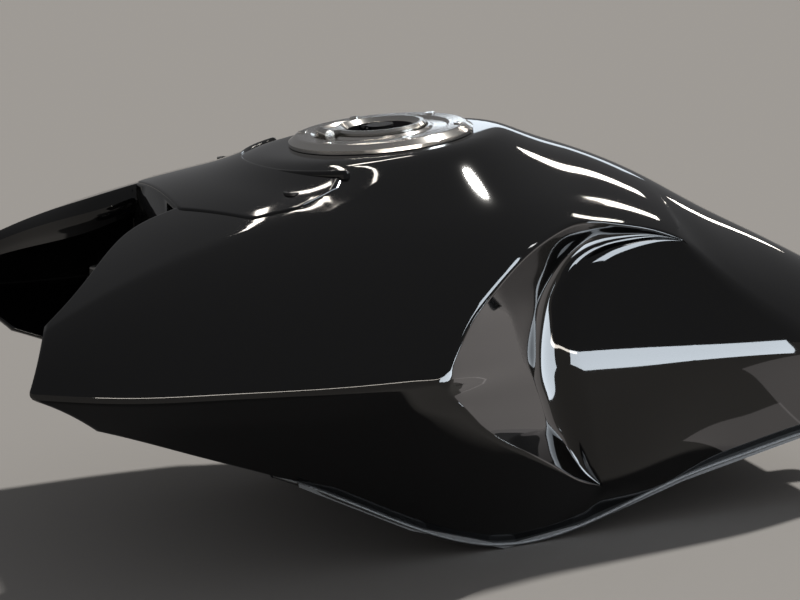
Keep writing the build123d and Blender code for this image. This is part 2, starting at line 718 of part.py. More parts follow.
# Fuel pump flange on the tunnel's roof, with its connector and outlet
pump_centre = Vector(PUMP_X, 0, roof_height(PUMP_X))
pump_plane = Plane(origin=pump_centre, x_dir=roof_forward, z_dir=roof_down)
with BuildPart() as pump_flange:
    with BuildSketch(pump_plane):
        Circle(PUMP_RADIUS)
    extrude(amount=PUMP_THICK)
    with BuildSketch(pump_plane.offset(PUMP_THICK)):
        Circle(PUMP_DOME_RADIUS)
    extrude(amount=PUMP_DOME_HIGH, taper=12)
pump_flange.part.label = "pump_flange"
export_step(pump_flange.part, "parts/pump_flange.step")

with BuildPart() as pump_bolts:
    with BuildSketch(pump_plane.offset(PUMP_THICK)):
        with PolarLocations(PUMP_RADIUS - 7, PUMP_BOLTS, start_angle=30):
            RegularPolygon(4.6, 6)
    extrude(amount=4)
pump_bolts.part.label = "pump_bolts"
export_step(pump_bolts.part, "parts/pump_bolts.step")

with BuildPart() as pump_connector:
    with BuildSketch(pump_plane.offset(PUMP_THICK + PUMP_DOME_HIGH)):
        with Locations((PLUG_BACK, 0)):
            RectangleRounded(*PLUG_OUTER, 2.5)
    extrude(amount=PLUG_HIGH)
    with BuildSketch(pump_plane.offset(PUMP_THICK + PUMP_DOME_HIGH + PLUG_HIGH)):
        with Locations((PLUG_BACK, 0)):
            RectangleRounded(*PLUG_INNER, 1.5)
    extrude(amount=-PLUG_DEEP, mode=Mode.SUBTRACT)
pump_connector.part.label = "pump_connector"
export_step(pump_connector.part, "parts/pump_connector.step")

# Outlet: a post with a hose stub that points forward
with BuildPart() as fuel_outlet:
    with BuildSketch(pump_plane.offset(PUMP_THICK + PUMP_DOME_HIGH)):
        with Locations((OUTLET_FORWARD, 0)):
            RectangleRounded(OUTLET_POST, OUTLET_POST, 1.5)
    extrude(amount=OUTLET_DROP + OUTLET_POST / 2 - PUMP_THICK - PUMP_DOME_HIGH)
    outlet_centre = pump_centre + roof_forward * OUTLET_FORWARD + roof_down * OUTLET_DROP
    with BuildSketch(Plane(origin=outlet_centre, x_dir=(0, 1, 0), z_dir=roof_forward)):
        Circle(OUTLET_RADIUS)
    extrude(amount=OUTLET_LENGTH)
fuel_outlet.part.label = "fuel_outlet"
export_step(fuel_outlet.part, "parts/fuel_outlet.step")

# Vent and overflow stubs, behind the pump on the tunnel's roof
for name, y in (("vent_stub", NIPPLE_Y), ("overflow_stub", -NIPPLE_Y)):
    stub_plane = Plane(origin=(NIPPLE_X, y, roof_height(NIPPLE_X)), x_dir=roof_forward, z_dir=roof_down)
    with BuildPart() as stub:
        with BuildSketch(stub_plane):
            Circle(2 * NIPPLE_RADIUS)
        extrude(amount=3)
        with BuildSketch(stub_plane):
            Circle(NIPPLE_RADIUS)
        extrude(amount=NIPPLE_LENGTH)
    stub.part.label = name
    export_step(stub.part, f"parts/{name}.step")


def spool(centre):
    """Rubber grommet through a tab at centre, with the sleeve's hole."""
    with BuildPart() as rubber:
        with BuildSketch(Plane(origin=centre, x_dir=(1, 0, 0), z_dir=(0, -1, 0))):
            with BuildLine():
                Polyline(
                    (SLEEVE_OUTER, -GROMMET_HALF),
                    (GROMMET_RADIUS, -GROMMET_HALF),
                    (GROMMET_RADIUS, -TAB_THICK / 2),
                    (GROMMET_WAIST, -TAB_THICK / 2),
                    (GROMMET_WAIST, TAB_THICK / 2),
                    (GROMMET_RADIUS, TAB_THICK / 2),
                    (GROMMET_RADIUS, GROMMET_HALF),
                    (SLEEVE_OUTER, GROMMET_HALF),
                    close=True,
                )
            make_face()
        revolve(axis=Axis(centre, (0, 0, 1)))
    return rubber.part


def sleeve(centre):
    """Steel sleeve that takes the mounting bolt."""
    with BuildPart() as tube:
        with BuildSketch(Plane.XY.offset(centre[2] - SLEEVE_LENGTH / 2)):
            with Locations((centre[0], centre[1])):
                Circle(SLEEVE_OUTER)
                Circle(SLEEVE_BORE, mode=Mode.SUBTRACT)
        extrude(amount=SLEEVE_LENGTH)
    return tube.part


def tab(centre, root_x, width, rise):
    """Steel tab with a rounded end at centre and a foot against the tank at root_x."""
    ahead = 1 if centre[0] > root_x else -1
    with BuildPart() as plate:
        with BuildSketch(Plane.XY.offset(centre[2] - TAB_THICK / 2)):
            with Locations((centre[0], centre[1])):
                Circle(TAB_RADIUS)
            with Locations(((centre[0] + root_x) / 2, centre[1])):
                Rectangle(abs(centre[0] - root_x), 2 * TAB_RADIUS)
            with Locations((centre[0], centre[1])):
                Circle(GROMMET_WAIST, mode=Mode.SUBTRACT)
        extrude(amount=TAB_THICK)
        with BuildSketch(Plane.YZ.offset(root_x)):
            with Locations((centre[1], centre[2] + rise / 2)):
                RectangleRounded(width, TAB_THICK + abs(rise), 1.4)
        extrude(amount=ahead * TAB_THICK)
    return plate.part


REAR_CENTRE = (0, 0, 0)
TABS = [
    ("rear_bracket", "rear_grommet", "rear_sleeve", REAR_CENTRE, TAIL_X, 44.0, 22.0),
    ("front_lug_left", "front_grommet_left", "front_sleeve_left",
     (FRONT_LUG_X, FRONT_LUG_Y, FRONT_LUG_Z), 505.0, 34.0, 20.0),
    ("front_lug_right", "front_grommet_right", "front_sleeve_right",
     (FRONT_LUG_X, -FRONT_LUG_Y, FRONT_LUG_Z), 505.0, 34.0, 20.0),
]
for tab_name, rubber_name, sleeve_name, centre, root_x, width, rise in TABS:
    for name, piece in (
        (tab_name, tab(centre, root_x, width, rise)),
        (rubber_name, spool(centre)),
        (sleeve_name, sleeve(centre)),
    ):
        piece.label = name
        export_step(piece, f"parts/{name}.step")
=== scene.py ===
from collections import namedtuple
from itertools import groupby
from math import cos, pi, radians, tan

import bpy
import numpy as np
from mathutils import Matrix, Vector


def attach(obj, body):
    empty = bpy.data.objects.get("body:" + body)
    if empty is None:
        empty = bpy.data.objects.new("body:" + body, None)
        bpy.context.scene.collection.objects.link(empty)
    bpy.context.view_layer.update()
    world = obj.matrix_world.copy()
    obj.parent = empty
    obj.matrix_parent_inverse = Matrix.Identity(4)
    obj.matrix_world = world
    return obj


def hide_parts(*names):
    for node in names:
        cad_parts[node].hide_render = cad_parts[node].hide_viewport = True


# Looks of a gloss black motorcycle fuel tank. Shape tables are in millimetres, in the frame's own axes:
# +X to the front of the motorcycle, +Y to the rider's left, +Z up. Meshes are written in metres.

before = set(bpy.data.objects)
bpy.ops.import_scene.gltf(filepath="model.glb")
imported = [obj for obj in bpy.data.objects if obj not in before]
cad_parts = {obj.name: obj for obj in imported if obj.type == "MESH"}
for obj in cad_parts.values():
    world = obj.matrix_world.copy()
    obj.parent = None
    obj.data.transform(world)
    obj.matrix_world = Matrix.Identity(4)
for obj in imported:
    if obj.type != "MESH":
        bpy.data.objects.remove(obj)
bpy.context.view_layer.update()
MM = 0.001

# The photograph's camera, fitted to the filler ring's ellipse and the tank's widest crease.
CAMERA_PLACE = (0.8372, 1.3776, 0.3830)
CAMERA_LOOK = (-0.3343, -0.9185, -0.2113)
CAMERA_LENS = 99.0


def add_object(name, data):
    piece = bpy.data.objects.new(name, data)
    bpy.context.scene.collection.objects.link(piece)
    return piece


def make_camera():
    data = bpy.data.cameras.new("camera")
    data.lens = CAMERA_LENS
    data.sensor_width = 36.0
    data.clip_start = 0.05
    data.clip_end = 50.0
    camera = add_object("camera", data)
    camera.location = CAMERA_PLACE
    camera.rotation_euler = Vector(CAMERA_LOOK).to_track_quat("-Z", "Y").to_euler()
    bpy.context.scene.camera = camera


# Sections across the tank, from the tail to the wing tips: crown is the top centre line, shoulder the
# upper crease, belt the widest crease, seam the line under it and foot the lower edge.
Section = namedtuple(
    "Section",
    "x crown_z shoulder_y shoulder_z belt_y belt_z bulge seam_y seam_z foot_y foot_z",
)
SKIN = [
    Section(18, 73, 45, 61, 84, 16, 4, 84, 1, 74, -26),
    Section(66, 97, 54, 80, 98, 32, 5, 97, 10, 78, -32),
    Section(115, 121, 58, 104, 108, 55, 6, 106, 25, 83, -41),
    Section(164, 147, 62, 131, 128, 70, 9, 122, 33, 88, -51),
    Section(235, 174, 72, 154, 166, 64, 12, 158, 33, 97, -71),
    Section(303, 186, 84, 168, 196, 61, 13, 181, 37, 105, -78),
    Section(378, 178, 91, 164, 200, 61, 13, 185, 39, 116, -52),
    Section(440, 165, 104, 150, 196, 59, 11, 173, 36, 126, -20),
    Section(510, 150, 119, 132, 186, 58, 9, 160, 35, 134, 8),
    Section(565, 133, 130, 114, 177, 58, 7, 151, 38, 139, 29),
    Section(622, 112, 143, 88, 160, 62, 3, 153, 55, 148, 48),
]

# Knee pad behind the scoop: its rounded ridge in plan and in side view.
Ridge = namedtuple("Ridge", "x y z round")
RIDGE = [
    Ridge(18, 81, 22, 4.5), Ridge(80, 97, 32, 5.5), Ridge(140, 107.5, 37, 6.5), Ridge(202, 117, 42, 7.5),
    Ridge(264, 126.5, 46, 8.5), Ridge(330, 132, 48, 9),
]
UPPER_LEAN = 0.24

# Flare that brings the pad out to the scoop's lower tip. It grows along the tank and up from the foot,
# and fades out above the tip.
FLARE_START_X = 110.0
FLARE_RUN = 125.0
FLARE_FOOT = 27.0
FLARE_FADE = 88.0

# Soft crease between the tank's top and the knee pad, behind the scoop's upper tip.
Crease = namedtuple("Crease", "x z")
CREASE = [Crease(18, 8), Crease(55, 30), Crease(101, 58), Crease(144, 90), Crease(169, 113)]

# Scoop, from its upper tip round the front to its lower tip: edge on the skin, valley at the foot of
# the wall, and rim where the raised pad begins.
Scoop = namedtuple("Scoop", "edge_x edge_z valley_x valley_y valley_z rim_x rim_z")
SCOOP = [
    Scoop(169, 113, 169, 95.0, 113, 169, 113),
    Scoop(195, 123, 190, 95.0, 118, 186, 114),
    Scoop(225, 130, 215, 96.5, 119, 209, 111),
    Scoop(256, 134.5, 239, 99.0, 116, 228, 106.5),
    Scoop(283, 131, 256, 104.0, 110, 241, 101),
    Scoop(314, 120, 267, 110.0, 101, 249, 94),
    Scoop(339, 105, 275, 114.5, 90, 254, 85),
    Scoop(358, 90, 279, 117.5, 77, 257, 76),
    Scoop(371, 74, 281, 119.0, 62, 259, 66),
    Scoop(377.5, 61, 281, 119.5, 48, 259, 55),
    Scoop(374, 50, 279, 119.0, 36, 256, 42),
    Scoop(363, 39, 275, 118.0, 24, 251, 28),
    Scoop(350, 26, 270, 116.0, 10, 247, 14),
    Scoop(314, 1, 263, 113.0, -5, 243, -4),
    Scoop(276, -23, 256, 110.5, -21, 240, -20),
    Scoop(255, -36, 247, 110.5, -34, 236, -33),
    Scoop(235, -44, 235, 113.0, -44, 235, -44),
]
APEX_ROW = 9
TIP_Y = 113.0
CORNER_ROW = 4

# Notch for the steering head, as the wings' inner edge in plan, and the wings' front ends.
Notch = namedtuple("Notch", "x y")
NOTCH = [Notch(505, 52), Notch(540, 66), Notch(572, 104), Notch(590, 123), Notch(605, 135)]
WING_TOP_X = 605.0
WING_BELT_X = 621.0
WING_FOOT_X = 577.0
HOLLOW_X = 468.0
WALL_X = 505.0
HOLLOW_INNER_Y = 62.0
SHEET = 3.0
LIP = [(505, 129), (605, 84)]
LIP_LEAST = 6.0

# Flat tail with a rounded edge, and the tunnel that opens in it.
TAIL_X = 18.0
TAIL_ROUND = 6.0
TUNNEL_HALF = 58.5
TUNNEL_CORNER = 12.5
TUNNEL_REAR = (18.0, -11.5)
TUNNEL_FRONT = (512.0, 78.5)

# Filler cap's plane and the plateau under it.
CAP = (350.0, 0.0, 185.0)
CAP_TILT = radians(5.5)
PLATEAU_DROP = 6.0
PLATEAU_ROUND = 3.0
BOSS_RISE = 9.0
BOSS_RADIUS = 40.0
BOSS_FADE = 90.0

# Upper crease: sharp on the wings, and softer behind the boss.
CREASE_SHARP = 1.0
CREASE_SOFT = 19.0
CREASE_SOFT_X = 412.0
CREASE_SOFT_RUN = 75.0
SEAM_SOFT = 4.0

# Near the scoop's upper tip the lower part of the skin is drawn in to meet the pad.
DRAW_RUN = 70.0
DRAW_START = 0.25

# Points on each half section, and a height below every section, which keeps one whole.
CROWN_POINTS = 60
SIDE_POINTS = 100
FLANK_POINTS = 400
WHOLE = -1e3


def natural_spline(knots, values, at):
    """Value at each place in at of the natural cubic spline through the knots."""
    knots, values, at = (np.asarray(numbers, float) for numbers in (knots, values, at))
    count = len(knots)
    step = np.diff(knots)
    system = np.eye(count)
    right = np.zeros(count)
    for i in range(1, count - 1):
        system[i, i - 1:i + 2] = step[i - 1], 2 * (step[i - 1] + step[i]), step[i]
        right[i] = 6 * ((values[i + 1] - values[i]) / step[i] - (values[i] - values[i - 1]) / step[i - 1])
    bend = np.linalg.solve(system, right)
    i = np.clip(np.searchsorted(knots, at) - 1, 0, count - 2)
    h = step[i]
    a = (knots[i + 1] - at) / h
    b = (at - knots[i]) / h
    cubic = ((a ** 3 - a) * bend[i] + (b ** 3 - b) * bend[i + 1]) * h * h / 6
    return a * values[i] + b * values[i + 1] + cubic


def smooth(value):
    """Rises from 0 to 1 with no kink while value goes from 0 to 1."""
    t = np.clip(value, 0.0, 1.0)
    return t * t * t * (t * (6 * t - 15) + 10)


def eased(value, share=0.25):
    """Rises from 0 to 1 at an even rate with soft ends while value goes from 0 to 1."""
    t = np.clip(value, 0.0, 1.0)
    low = np.minimum(t, share)
    high = np.maximum(t - (1 - share), 0)
    return (low * low / (2 * share) + np.maximum(t - share, 0) - high * high / (2 * share)) / (1 - share)


def rail(rows, name, at):
    """A column of a table, as a smooth curve over x."""
    return natural_spline([r.x for r in rows], [getattr(r, name) for r in rows], at)


def arc_points(start, middle, end, count):
    """Points on the arc through three points of a plane, or on the chord where they are in line."""
    (ax, ay), (bx, by), (cx, cy) = start, middle, end
    d = 2 * (ax * (by - cy) + bx * (cy - ay) + cx * (ay - by))
    share = np.linspace(0, 1, count)
    if abs(d) < 1e-6:
        return np.stack([ax + share * (cx - ax), ay + share * (cy - ay)], 1)
    a2, b2, c2 = ax * ax + ay * ay, bx * bx + by * by, cx * cx + cy * cy
    ux = (a2 * (by - cy) + b2 * (cy - ay) + c2 * (ay - by)) / d
    uy = (a2 * (cx - bx) + b2 * (ax - cx) + c2 * (bx - ax)) / d
    first = np.arctan2(ay - uy, ax - ux)
    turn = np.angle(np.exp(1j * (np.arctan2(cy - uy, cx - ux) - first)))
    radius = np.hypot(ax - ux, ay - uy)
    angle = first + share * turn
    return np.stack([ux + radius * np.cos(angle), uy + radius * np.sin(angle)], 1)


def lengths(line):
    """Distance along a polyline at each of its points."""
    return np.concatenate([[0.0], np.cumsum(np.linalg.norm(np.diff(line, axis=0), axis=1))])


def shares_of(line):
    """Share of a polyline's whole length at each of its points."""
    s = lengths(line)
    return s / s[-1]


def at_shares(line, shares):
    """Points of a polyline at shares of its whole length."""
    return resample(line, shares * lengths(line)[-1])


# Averaging along a line reaches this far round a corner, and narrows towards the line's ends.
CORNER_REACH = 1.6
CORNER_MORE = 20
END_NARROWING = 2.5


def softened(line, corner, spread):
    """The polyline with its corner at index corner spread over about that distance."""
    s = lengths(line)
    mirrored = line[1:][::-1] * (-1, 1)
    whole = np.concatenate([mirrored, line])
    s_whole = np.concatenate([-s[1:][::-1], s])
    width = spread * np.exp(-(((s - s[corner]) / (CORNER_REACH * spread + CORNER_MORE)) ** 2))
    width = np.minimum(width, (s[-1] - s) / END_NARROWING) + 1e-3
    gap = np.gradient(s_whole)
    weight = np.exp(-0.5 * ((s_whole[None, :] - s[:, None]) / width[:, None]) ** 2) * gap[None, :]
    weight /= weight.sum(1, keepdims=True)
    out = weight @ whole
    out[width < 0.5] = line[width < 0.5]
    out[0, 0] = 0.0
    out[-1] = line[-1]
    return out


def plain_pad_y(x, z):
    """How far out the knee pad stands at a place in side view, without its flare."""
    foot_y, foot_z = rail(SKIN, "foot_y", x), rail(SKIN, "foot_z", x)
    ridge_y, ridge_z = rail(RIDGE, "y", x), rail(RIDGE, "z", x)
    around = rail(RIDGE, "round", x)
    v = z - ridge_z
    v_foot = foot_z - ridge_z
    turn = np.sqrt(v * v + around ** 2) - around
    turn_foot = np.sqrt(v_foot ** 2 + around ** 2) - around
    lower = (2 * (ridge_y - foot_y) - UPPER_LEAN * (v_foot + turn_foot)) / (turn_foot - v_foot)
    return ridge_y - (UPPER_LEAN - lower) / 2 * v - (UPPER_LEAN + lower) / 2 * turn


def pad_y(x, z):
    """How far out the knee pad stands at a place in side view, met by the flank at the scoop's lower tip."""
    tip = SCOOP[-1]
    flare = TIP_Y - float(plain_pad_y(tip.edge_x, tip.edge_z))
    grow = smooth((z - rail(SKIN, "foot_z", tip.edge_x)) / FLARE_FOOT)
    fade = 1 - eased((z - tip.edge_z) / FLARE_FADE)
    return plain_pad_y(x, z) + flare * (grow * fade) * smooth((x - FLARE_START_X) / FLARE_RUN)


def skin_at(name, x):
    """One column of the skin's table at x."""
    return float(rail(SKIN, name, x))


def section_at(x):
    """All columns of the skin's table at x."""
    return Section(x, *[skin_at(name, x) for name in Section._fields[1:]])


SECTION_CACHE = {}


def plain_section(x):
    """Half section of the skin at x, from the crown down to the belt, before the boss is added."""
    key = round(float(x), 3)
    if key not in SECTION_CACHE:
        r = section_at(x)
        shoulder, belt = (r.shoulder_y, r.shoulder_z), (r.belt_y, r.belt_z)
        far_shoulder = (-r.shoulder_y, r.shoulder_z)
        crown = arc_points(far_shoulder, (0, r.crown_z), shoulder, 2 * CROWN_POINTS + 1)[CROWN_POINTS:]
        run = np.subtract(belt, shoulder)
        outwards = np.array([-run[1], run[0]]) / np.linalg.norm(run)
        middle = np.add(shoulder, belt) / 2 + r.bulge * outwards
        side = arc_points(shoulder, middle, belt, SIDE_POINTS + 1)
        spread = CREASE_SHARP + CREASE_SOFT * float(smooth((CREASE_SOFT_X - x) / CREASE_SOFT_RUN))
        SECTION_CACHE[key] = softened(np.concatenate([crown, side[1:]]), CROWN_POINTS, spread)
    return SECTION_CACHE[key]


def plateau_z(x):
    """Height of the plateau under the ring, on the cap's plane but lower."""
    return CAP[2] - tan(CAP_TILT) * (x - CAP[0]) - PLATEAU_DROP / cos(CAP_TILT)


def with_boss(x, line):
    """Swells a section a little round the filler and cuts it off at the plateau under the ring."""
    distance = np.hypot(x - CAP[0], line[:, 0])
    swollen = line[:, 1] + BOSS_RISE * (1 - smooth((distance - BOSS_RADIUS) / BOSS_FADE))
    plateau = plateau_z(x)
    out = line.copy()
    out[:, 1] = (swollen + plateau - np.sqrt((swollen - plateau) ** 2 + PLATEAU_ROUND ** 2)) / 2
    return out


def tip_shift(x):
    """How far the skin is drawn in near the scoop's upper tip so that it meets the knee pad."""
    tip_x = CREASE[-1].x
    behind = min(float(x), tip_x)
    crease_z = float(rail(CREASE, "z", behind))
    side = plain_section(behind)[CROWN_POINTS:]
    y = np.interp(-crease_z, -side[:, 1], side[:, 0])
    wanted = float(pad_y(behind, crease_z))
    return (wanted - y) * (1 - float(smooth((float(x) - tip_x) / DRAW_RUN)))


def skin_line(x, end_z):
    """Half section from the crown down to the height end_z, with the boss and the draw at the tip."""
    line = plain_section(x)
    keep = line[:, 1] > end_z
    last = max(int(np.argmin(keep)) if not keep.all() else len(line) - 1, 1)
    before, after = line[last - 1], line[last]
    share = 1.0 if keep.all() else (before[1] - end_z) / max(before[1] - after[1], 1e-9)
    end = before + np.clip(share, 0, 1) * (after - before)
    line = np.concatenate([line[:last], [end]])
    if x < CREASE[-1].x + DRAW_RUN:
        line[:, 0] += tip_shift(x) * smooth((shares_of(line) - DRAW_START) / (1 - DRAW_START))
    return with_boss(x, line)


def flank_line(x, start):
    """Half section below the belt at x, with a soft seam, from the height start down to the foot."""
    r = section_at(x)
    line = np.array([(r.belt_y, r.belt_z), (r.seam_y, r.seam_z), (r.foot_y, r.foot_z)])
    dense = resample(line, np.linspace(0, lengths(line)[-1], FLANK_POINTS))
    gap = lengths(dense)[1]
    more = int(3 * SEAM_SOFT / (gap + 1e-9)) + 1
    head = dense[0] + (dense[0] - dense[1]) * np.arange(more, 0, -1)[:, None]
    tail = dense[-1] + (dense[-1] - dense[-2]) * np.arange(1, more + 1)[:, None]
    longer = np.concatenate([head, dense, tail])
    reach = np.arange(-more, more + 1) * gap
    kernel = np.exp(-0.5 * (reach / SEAM_SOFT) ** 2)
    kernel /= kernel.sum()
    dense = np.stack([np.convolve(longer[:, k], kernel, "valid") for k in (0, 1)], 1)
    below = dense[dense[:, 1] < start - 1e-6]
    y = np.interp(-start, -dense[:, 1], dense[:, 0])
    return np.concatenate([[[y, start]], below])


# Rows of points down each kind of line, and how many of them stand closer together within a distance
# of the line's two ends.
Ends = namedtuple("Ends", "near near_rows far far_rows")
ROWS_CROWN = 26
ROWS_SIDE = 44
SIDE_ENDS = Ends(3.0, 4, 6.0, 5)
ROWS_WALL = 24
WALL_ENDS = Ends(4.5, 5, 0.1, 1)
ROWS_FLANK = 34
FLANK_ENDS = Ends(6.0, 5, 3.0, 3)
END_SHARE = 0.3


def stations(total, ends, rows):
    """Distances along a line, closer together near its two ends."""
    near = min(ends.near, END_SHARE * total)
    far = min(ends.far, END_SHARE * total)
    head = np.linspace(0, near, ends.near_rows + 1)
    middle = np.linspace(near, total - far, rows - ends.near_rows - ends.far_rows + 1)[1:-1]
    tail = np.linspace(total - far, total, ends.far_rows + 1)
    return np.concatenate([head, middle, tail])


def resample(line, distances):
    s = lengths(line)
    return np.stack([np.interp(distances, s, line[:, k]) for k in range(line.shape[1])], 1)


def in_space(x, section):
    """Section points (y, z) as points of space; x is one number or one for each point."""
    return np.stack([np.broadcast_to(x, (len(section),)), section[:, 0], section[:, 1]], 1)


CORNER_SHARE = 0.45
ROUND_POINTS = 9


def round_corner(first, second, reaches):
    """Rounds the corner where each line of first ends and the same of second begins, in place."""
    for a, b, reach in zip(first, second, reaches):
        corner = a[-1].copy()
        sa = lengths(a[::-1])
        sb = lengths(b)
        ra = min(reach, CORNER_SHARE * sa[-1])
        rb = min(reach, CORNER_SHARE * sb[-1])
        if ra < 1e-6 or rb < 1e-6:
            continue
        pa = resample(a[::-1], [ra])[0]
        pb = resample(b, [rb])[0]
        for k in np.nonzero(sa < ra)[0]:
            t = 0.5 * sa[k] / ra
            a[len(a) - 1 - k] = bezier(pa, corner, pb, 0.5 - t)
        for k in np.nonzero(sb < rb)[0]:
            t = 0.5 * sb[k] / rb
            b[k] = bezier(pa, corner, pb, 0.5 + t)


def bezier(start, corner, end, t):
    return (1 - t) ** 2 * start + 2 * t * (1 - t) * corner + t * t * end


SAME_PLACE = 0.05
SKIN_WELD = 0.02
TRIM_WELD = 0.005
RELAX_RATE = 0.6


class Patches:
    """Collects patches of points into one mesh, with equal points welded."""

    def __init__(self):
        self.points = []
        self.faces = []

    def patch(self, grid, flip=False):
        """Adds a grid of points, as rows of columns."""
        base = len(self.points)
        rows, columns = grid.shape[:2]
        self.points.extend(grid.reshape(-1, 3))
        for i in range(rows - 1):
            for j in range(columns - 1):
                a = base + i * columns + j
                quad = (a, a + 1, a + columns + 1, a + columns)
                self.faces.append(quad[::-1] if flip else quad)

    def fan(self, outline):
        """Adds one flat face with many sides, without points that repeat."""
        kept = []
        for point in outline:
            if all(np.abs(point - other).max() > SAME_PLACE for other in kept):
                kept.append(np.asarray(point))
        base = len(self.points)
        self.points.extend(kept)
        self.faces.append(tuple(range(base, base + len(kept))))

    def finish(self, name, weld, relax=()):
        """The patches and their mirror image as one smooth piece, evened out at the places in relax."""
        points = np.array(self.points)
        count = len(points)
        points = np.concatenate([points, points * (1, -1, 1)])
        faces = self.faces + [tuple(v + count for v in reversed(face)) for face in self.faces]
        keys = np.round(points / weld).astype(np.int64)
        _, first, group = np.unique(keys, axis=0, return_index=True, return_inverse=True)
        group = group.reshape(-1)
        points = points[first]
        kept = []
        for face in faces:
            short = [g for g, _ in groupby(int(group[v]) for v in face)]
            if len(short) > 1 and short[0] == short[-1]:
                short.pop()
            if len(short) > 2 and len(set(short)) == len(short):
                kept.append(short)
        for centre, radius, times in relax:
            points = relaxed(points, kept, np.array(centre), radius, times)
        mesh = bpy.data.meshes.new(name)
        mesh.from_pydata((points * MM).tolist(), [], kept)
        mesh.update()
        mesh.shade_smooth()
        return add_object(name, mesh)


def relaxed(points, faces, centre, radius, times):
    """Evens out the points near centre, and as near its mirror image."""
    share = np.zeros(len(points))
    for side in (1, -1):
        away = np.linalg.norm(points - centre * (1, side, 1), axis=1)
        share = np.maximum(share, 1 - smooth(away / radius))
    edges = set()
    for face in faces:
        for a, b in zip(face, face[1:] + face[:1]):
            if share[a] > 0 or share[b] > 0:
                edges.add((min(a, b), max(a, b)))
    edges = np.array(sorted(edges))
    for _ in range(times):
        total = np.zeros_like(points)
        count = np.zeros(len(points))
        for a, b in ((0, 1), (1, 0)):
            np.add.at(total, edges[:, a], points[edges[:, b]])
            np.add.at(count, edges[:, a], 1)
        mean = total / np.maximum(count, 1)[:, None]
        points = points + (RELAX_RATE * share)[:, None] * np.where(count[:, None] > 0, mean - points, 0)
    return points


def scoop_curve(name, q):
    """A column of the scoop's table as a smooth curve over q, from 0 at the upper tip to 1 at the lower."""
    return natural_spline(SCOOP_Q, [getattr(row, name) for row in SCOOP], q)


def scoop_values(q, *names):
    """Several columns of the scoop's table at one q."""
    return [float(scoop_curve(name, q)) for name in names]


edge_places = np.array([(row.edge_x, row.edge_z) for row in SCOOP])
SCOOP_Q = shares_of(edge_places)

CREASE_STEP = 3.0
EDGE_STEP = 2.6
BELT_STEP = 3.2

# The lines that meet the scoop's edge or the belt near its apex start farther forward at the top.
LEAN_REACH = 38.0
LEAN_AHEAD = 46.0
LEAN_BEHIND = 70.0
LEAN_END_X = 440.0
LEAN_END_RUN = 28.0
WING_TURN = 0.35


def lean(x):
    """How far forward the lines that meet the scoop's edge at x start, near its apex."""
    gap = x - SCOOP[APEX_ROW].edge_x
    return float(LEAN_REACH * np.exp(-((gap / np.where(gap > 0, LEAN_AHEAD, LEAN_BEHIND)) ** 2)))


def spaced(start, end, step):
    return np.linspace(start, end, max(int(round(abs(end - start) / step)), 1) + 1)


def edge_samples():
    """Places along the scoop's edge, evenly spaced from tip to tip, with the apex and corner among them."""
    total = lengths(edge_places)[-1]
    marks = [0.0, SCOOP_Q[CORNER_ROW], SCOOP_Q[APEX_ROW], 1.0]
    parts = [spaced(a, b, EDGE_STEP / total) for a, b in zip(marks, marks[1:])]
    q = np.concatenate([parts[0], parts[1][1:], parts[2][1:]])
    return q, len(parts[0]) - 1, len(parts[0]) + len(parts[1]) - 2


def upper_ends(q, apex):
    """Ends of the lines above the belt, the scoop's edge and the soft crease, and the x where each starts.

    They go from the tail to the wing tip. The counts are of lines up to apex, hollow and wall."""
    ends = []
    for x in spaced(TAIL_X + TAIL_ROUND, CREASE[-1].x, CREASE_STEP)[:-1]:
        ends.append((x, float(rail(CREASE, "z", x)), x))
    for place in q[:apex + 1]:
        x, z = scoop_values(place, "edge_x", "edge_z")
        ends.append((x, z, x + lean(x)))
    n_scoop = len(ends)
    for x in spaced(SCOOP[APEX_ROW].edge_x, HOLLOW_X, BELT_STEP)[1:]:
        forward = lean(x) * float(1 - smooth((x - LEAN_END_X) / LEAN_END_RUN))
        ends.append((x, skin_at("belt_z", x), x + forward))
    n_hollow = len(ends)
    for x in spaced(HOLLOW_X, WALL_X, BELT_STEP)[1:]:
        ends.append((x, skin_at("belt_z", x), x))
    n_wall = len(ends)
    for share in spaced(0, 1, BELT_STEP / (WING_TOP_X - WALL_X))[1:]:
        top = WALL_X + share * (WING_TOP_X - WALL_X)
        x = top + (WING_BELT_X - WING_TOP_X) * float(smooth((share - WING_TURN) / (1 - WING_TURN)))
        ends.append((x, skin_at("belt_z", x), top))
    return ends, n_scoop, n_hollow, n_wall


def split(line, y):
    """The parts of a half section inside and outside y, both with the point at y."""
    place = [[y, np.interp(y, line[:, 0], line[:, 1])]]
    return np.concatenate([line[line[:, 0] < y], place]), np.concatenate([place, line[line[:, 0] > y]])


def leaning(start_x, end_x, first, last, rows, section):
    """A line from the section first to the section last: each point is on the skin at its own x."""
    xs = start_x + (end_x - start_x) * rows
    a, b = at_shares(first, rows), at_shares(last, rows)
    line = np.array([nearest(section(x), a[k] + rows[k] * (b[k] - a[k])) for k, x in enumerate(xs)])
    line[0] = a[0]
    line[-1] = b[-1]
    return np.concatenate([xs[:, None], line], 1)


